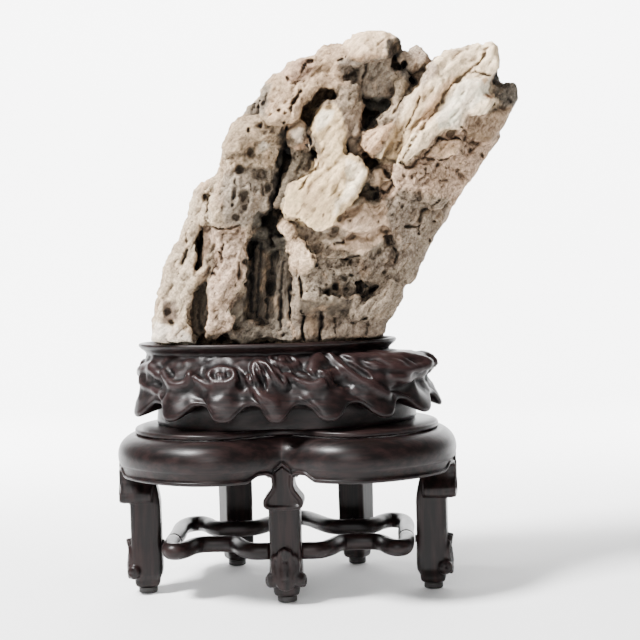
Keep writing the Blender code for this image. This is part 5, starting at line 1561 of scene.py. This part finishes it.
def wood_material(name, grain, figure, dark, warm):
    mat, graph, shader = new_material(name)
    effect = graph.add("ShaderNodeGroup", node_tree=figure)
    effect.inputs["Dark"].default_value = dark
    effect.inputs["Warm"].default_value = warm
    effect.inputs["Grain"].default_value = grain
    graph.give(effect.inputs["Sunk"], graph.attribute("sunk"))
    bump = graph.add("ShaderNodeBump", {"Strength": 0.25, "Distance": 0.0004,
                                        "Height": effect.outputs["Height"]})
    graph.give(shader["Base Color"], effect.outputs["Colour"])
    graph.give(shader["Roughness"], effect.outputs["Roughness"])
    graph.give(shader["Normal"], bump.outputs[0])
    shader["Coat Weight"].default_value = 0.05
    shader["Coat Roughness"].default_value = 0.22
    shader["Specular IOR Level"].default_value = 0.17
    return mat


# how the grain is drawn out for each rosewood: lines run along the smallest of the three
WOOD_GRAINS = {
    "across": (0.06, 1.0, 1.0),
    "upright": (1.0, 1.0, 0.06),
    "rails": (1.0, 0.06, 1.0),
}


def rosewood(grain, settings):
    """The rosewood with this grain, made the first time that a piece asks for it."""
    name = "rosewood_" + grain
    if name in bpy.data.materials:
        return bpy.data.materials[name]
    figure = bpy.data.node_groups.get("wood_figure") or wood_figure()
    return wood_material(name, WOOD_GRAINS[grain], figure,
                         tuple(settings.wood_dark), tuple(settings.wood_warm))


def pad_material():
    mat, graph, shader = new_material("blackened_pad")
    place = graph.add("ShaderNodeTexCoord").outputs["Object"]
    grain = graph.noise(place, 900.0, 3.0)
    graph.give(shader["Base Color"], graph.mix(grain, (0.006, 0.005, 0.005, 1), (0.02, 0.017, 0.015, 1)))
    graph.give(shader["Roughness"], graph.math("ADD", graph.math("MULTIPLY", grain, 0.2), 0.5))
    return mat


def floor_material(colour):
    mat, graph, shader = new_material("studio_paper")
    place = graph.add("ShaderNodeTexCoord").outputs["Object"]
    soft = graph.noise(place, 3.0, 2.0)
    dim = tuple(0.985 * c for c in colour[:3]) + (1.0,)
    graph.give(shader["Base Color"], graph.mix(soft, dim, colour))
    shader["Roughness"].default_value = 0.9
    return mat


# ---------------------------------------------------------------- the rock as a piece

def seated(points):
    """The foot drawn in to its seat: inside the lip's oval, and down to the seat's floor."""
    low = 1.0 - smooth_step((points[:, 2] - SEAT_RIM) / SEAT_BLEND)
    across = points[:, 0] - LIP_CENTRE_X
    reach = np.hypot(across / SEAT_HALF_WIDTH, points[:, 1] / SEAT_HALF_DEPTH) + 1e-9
    share = np.where(reach > 1.0, 1.0 / reach, 1.0)
    points[:, 0] += low * across * (share - 1.0)
    points[:, 1] *= 1.0 + low * (share - 1.0)
    points[:, 2] = np.maximum(points[:, 2], SEAT_FLOOR)
    return points


# share of the frame's half size where the easing starts, and how much it may still add
EASE_FROM = 0.985
EASE_ROOM = 0.0149


def within_frame(points, low, high):
    """Ease what weathering pushed past the frame's box back to its faces, level at the very top."""
    middle = (low + high) / 2
    half = (high - low) / 2
    away = (points - middle) / half
    past = np.abs(away) > EASE_FROM
    eased = np.sign(away) * (EASE_FROM + EASE_ROOM * np.tanh((np.abs(away) - EASE_FROM) / EASE_ROOM))
    return middle + np.where(past, eased, away) * half


def stone(settings):
    piece = fused_forms(settings.rock_voxel / MM)
    colour, quartz, grit, fibre, shade, tone = weather(piece)
    mesh = piece.data
    low, high = (np.array(corner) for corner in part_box("rock"))
    origin = np.array(stand_origin())
    points = seated(face_to_stand(read_points(mesh)))
    write_points(mesh, points)
    edges = read_edges(mesh)
    # painted shade in holes follows how little sky each point sees
    store(mesh, "hollow", relaxed(hollowness(mesh, HOLLOW_REACH), edges, 1))
    # painted shade in creases and a painted highlight on ridges follow how far each point lies below or
    # above its surroundings
    sunk = relaxed(points, edges, 6) - points
    store(mesh, "sunk", np.sum(sunk * read_points(mesh, "normal"), axis=1))
    for name, values in (("quartz", quartz), ("grit", grit), ("fibre", fibre), ("shade", shade)):
        store(mesh, name, values)
    tones = 0.9 + 0.2 * relaxed(tone, edges, 3)
    # darker stone is greyer too
    grey = np.clip(colour.mean(axis=1), 0.05, 1.0)[:, None]
    linear = grey ** 2.9 * (colour / grey) ** np.clip(2.1 + 6.5 * (grey - 0.62), 2.1, 4.0)
    store(mesh, "ground", np.clip(linear * tones[:, None], 0.0, 1.0))
    write_points(mesh, within_frame(points * MM + origin, low, high))
    piece.name = "rock_stone"
    dress(piece, stone_material(settings.stain), "rock", "rock")


# ---------------------------------------------------------------- stage

def camera():
    """Level line of sight a little from the left of square, rolled by the drawing's own turn."""
    data = bpy.data.cameras.new("view")
    focal = 1285.0
    frame_size = 640.0
    data.sensor_width = 36.0
    data.lens = focal / frame_size * data.sensor_width
    view = bpy.data.objects.new("view", data)
    bpy.context.scene.collection.objects.link(view)
    ahead = Vector((-math.sin(FACE_TURN), math.cos(FACE_TURN), 0.0))
    right = Vector((math.cos(FACE_TURN), math.sin(FACE_TURN), 0.0))
    up = Vector((0.0, 0.0, 1.0))
    sight_x, sight_y = 284.0, 276.0
    off_x, off_y = frame_size / 2 - sight_x, frame_size / 2 - sight_y
    across = off_x * math.cos(FACE_ROLL) - off_y * math.sin(FACE_ROLL)
    down = off_x * math.sin(FACE_ROLL) + off_y * math.cos(FACE_ROLL)
    aim = (ahead + right * across / focal - up * down / focal).normalized()
    level = aim.cross(up).normalized()
    over = level.cross(aim)
    x_axis = level * math.cos(FACE_ROLL) - over * math.sin(FACE_ROLL)
    y_axis = over * math.cos(FACE_ROLL) + level * math.sin(FACE_ROLL)
    turn = Matrix((x_axis, y_axis, -aim)).transposed()
    place = stand_origin() - ahead * VIEW_DISTANCE * MM + up * SIGHT_HEIGHT * MM
    view.matrix_world = Matrix.Translation(place) @ turn.to_4x4()
    bpy.context.scene.camera = view


def lamp(name, place, target, energy, size):
    """A square soft lamp at a place, aimed at a target."""
    data = bpy.data.lights.new(name, "AREA")
    data.energy = energy
    data.size = size
    light = bpy.data.objects.new(name, data)
    light.location = place
    aim = Vector(target) - Vector(place)
    light.rotation_euler = aim.to_track_quat("-Z", "Y").to_euler()
    bpy.context.scene.collection.objects.link(light)


SKY_STRENGTH = 0.2
# lamps: name, place, the point each is turned to, watts and size, in metres
LAMPS = (
    ("key", (-0.8, -0.5, 1.35), (0.0, 0.0, 0.25), 100.0, 0.35),
    ("fill", (-0.2, -1.5, 0.7), (0.0, 0.0, 0.22), 14.0, 0.8),
    ("paper left", (-1.0, 0.5, 0.9), (-0.4, 2.0, 0.7), 105.0, 0.8),
    ("paper right", (1.0, 0.5, 0.9), (0.4, 2.0, 0.7), 105.0, 0.8),
)


def backdrop(colour):
    """A pale sweep: floor, curve and wall in one sheet."""
    bm = bmesh.new()
    profile = [(-3.0, -0.0006), (1.2, -0.0006)]
    profile += [(1.2 + 0.8 * math.sin(a), 0.8 - 0.8 * math.cos(a) - 0.0006)
                for a in np.linspace(0.1, math.pi / 2, 14)]
    profile.append((2.0, 3.0))
    rows = [[bm.verts.new((x, y, z)) for x in (-4.0, 4.0)] for y, z in profile]
    for low, high in zip(rows, rows[1:]):
        bm.faces.new((low[0], low[1], high[1], high[0]))
    sheet = object_from("studio_sweep", bm)
    sheet.data.materials.append(floor_material(colour))
    select_only(sheet)
    bpy.ops.object.shade_smooth()


def world_light(strength):
    world = bpy.data.worlds.new("studio")
    bpy.context.scene.world = world
    world.use_nodes = True
    sky = world.node_tree.nodes["Background"].inputs
    sky["Color"].default_value = (1.0, 1.0, 1.0, 1.0)
    sky["Strength"].default_value = strength


# ---------------------------------------------------------------- add-on

class ScholarsRockSettings(bpy.types.PropertyGroup):
    rock_voxel: bpy.props.FloatProperty(
        name="Rock detail", description="Size of the rock's mesh cells", default=0.00115,
        min=0.0009, max=0.004, unit="LENGTH", subtype="DISTANCE", precision=5)
    stain: bpy.props.FloatVectorProperty(
        name="Stain", description="Iron stain on the stone", default=(0.46, 0.31, 0.19, 1.0), size=4,
        subtype="COLOR", min=0.0, max=1.0)
    wood_dark: bpy.props.FloatVectorProperty(
        name="Wood, dark", description="Dark lines of the rosewood", default=(0.0028, 0.0018, 0.0018, 1.0),
        size=4, subtype="COLOR", min=0.0, max=1.0)
    wood_warm: bpy.props.FloatVectorProperty(
        name="Wood, warm", description="Red-brown lines of the rosewood",
        default=(0.0125, 0.0062, 0.0058, 1.0), size=4, subtype="COLOR", min=0.0, max=1.0)
    paper: bpy.props.FloatVectorProperty(
        name="Paper", description="Floor and wall of the stage", default=(0.95, 0.95, 0.95, 1.0),
        size=4, subtype="COLOR", min=0.0, max=1.0)


class MESH_OT_scholars_rock(bpy.types.Operator):
    """Build the weathered stone in its seat"""
    bl_idname = "mesh.scholars_rock"
    bl_label = "Stone"

    def execute(self, context):
        stone(context.scene.scholars_rock)
        return {"FINISHED"}


class MESH_OT_carved_base(bpy.types.Operator):
    """Carve the base that holds the stone"""
    bl_idname = "mesh.carved_base"
    bl_label = "Carved base"

    def execute(self, context):
        carved_base(rosewood("across", context.scene.scholars_rock))
        return {"FINISHED"}


class MESH_OT_stool_board(bpy.types.Operator):
    """Build the lobed board of the stool"""
    bl_idname = "mesh.stool_board"
    bl_label = "Board"

    def execute(self, context):
        top_board(rosewood("across", context.scene.scholars_rock))
        return {"FINISHED"}


class MESH_OT_stool_aprons(bpy.types.Operator):
    """Build the bulging frieze, one length for each bay"""
    bl_idname = "mesh.stool_aprons"
    bl_label = "Aprons"

    def execute(self, context):
        for name, first, last, grain in APRON_BAYS:
            end = LEGS[last] + (360.0 if LEGS[last] < LEGS[first] else 0.0)
            apron(name, LEGS[first], end, rosewood(grain, context.scene.scholars_rock))
        return {"FINISHED"}


class MESH_OT_stool_legs(bpy.types.Operator):
    """Build the five legs with their brackets, palmettes and scrolls"""
    bl_idname = "mesh.stool_legs"
    bl_label = "Legs"

    def execute(self, context):
        for name in LEGS:
            leg(name, rosewood("upright", context.scene.scholars_rock))
        return {"FINISHED"}


class MESH_OT_foot_pads(bpy.types.Operator):
    """Build the dark pads under the legs"""
    bl_idname = "mesh.foot_pads"
    bl_label = "Foot pads"

    def execute(self, context):
        black = pad_material()
        for name in LEGS:
            pad(name.replace("leg", "pad"), black)
        return {"FINISHED"}


class MESH_OT_ring_rails(bpy.types.Operator):
    """Build the wavy ring between the legs"""
    bl_idname = "mesh.ring_rails"
    bl_label = "Ring rails"

    def execute(self, context):
        ring(rosewood("across", context.scene.scholars_rock))
        return {"FINISHED"}


class MESH_OT_ring_pegs(bpy.types.Operator):
    """Give the frame's own pegs their wood"""
    bl_idname = "mesh.ring_pegs"
    bl_label = "Ring pegs"

    def execute(self, context):
        for node in ("peg_left", "peg_right", "peg_back_left", "peg_back_right"):
            peg = frame["nodes"][node]
            peg.data.materials.clear()
            peg.data.materials.append(rosewood("rails", context.scene.scholars_rock))
        return {"FINISHED"}


class SCENE_OT_scholars_rock_stage(bpy.types.Operator):
    """Set up the pale sweep, the soft lamps and the camera"""
    bl_idname = "scene.scholars_rock_stage"
    bl_label = "Stage"

    def execute(self, context):
        backdrop(tuple(context.scene.scholars_rock.paper))
        world_light(SKY_STRENGTH)
        for name, place, target, watts, size in LAMPS:
            lamp(name, place, target, watts, size)
        camera()
        return {"FINISHED"}


class VIEW3D_PT_scholars_rock(bpy.types.Panel):
    """Sizes, colours and build buttons"""
    bl_label = "Scholar's Rock"
    bl_space_type = "VIEW_3D"
    bl_region_type = "UI"
    bl_category = "Scholar's Rock"

    def draw(self, context):
        settings = context.scene.scholars_rock
        for name in ("rock_voxel", "stain", "wood_dark", "wood_warm", "paper"):
            self.layout.prop(settings, name)
        for cls in OPERATORS:
            self.layout.operator(cls.bl_idname)


OPERATORS = (
    MESH_OT_carved_base,
    MESH_OT_stool_board,
    MESH_OT_stool_aprons,
    MESH_OT_stool_legs,
    MESH_OT_foot_pads,
    MESH_OT_ring_rails,
    MESH_OT_ring_pegs,
    MESH_OT_scholars_rock,
    SCENE_OT_scholars_rock_stage,
)
CLASSES = (ScholarsRockSettings, *OPERATORS, VIEW3D_PT_scholars_rock)


def register():
    for cls in CLASSES:
        bpy.utils.register_class(cls)
    bpy.types.Scene.scholars_rock = bpy.props.PointerProperty(type=ScholarsRockSettings)


def unregister():
    del bpy.types.Scene.scholars_rock
    for cls in reversed(CLASSES):
        bpy.utils.unregister_class(cls)


def main():
    register()
    bpy.ops.mesh.carved_base()
    bpy.ops.mesh.stool_board()
    bpy.ops.mesh.stool_aprons()
    bpy.ops.mesh.stool_legs()
    bpy.ops.mesh.foot_pads()
    bpy.ops.mesh.ring_rails()
    bpy.ops.mesh.ring_pegs()
    bpy.ops.mesh.scholars_rock()
    bpy.ops.scene.scholars_rock_stage()


if __name__ == "__main__":
    main()
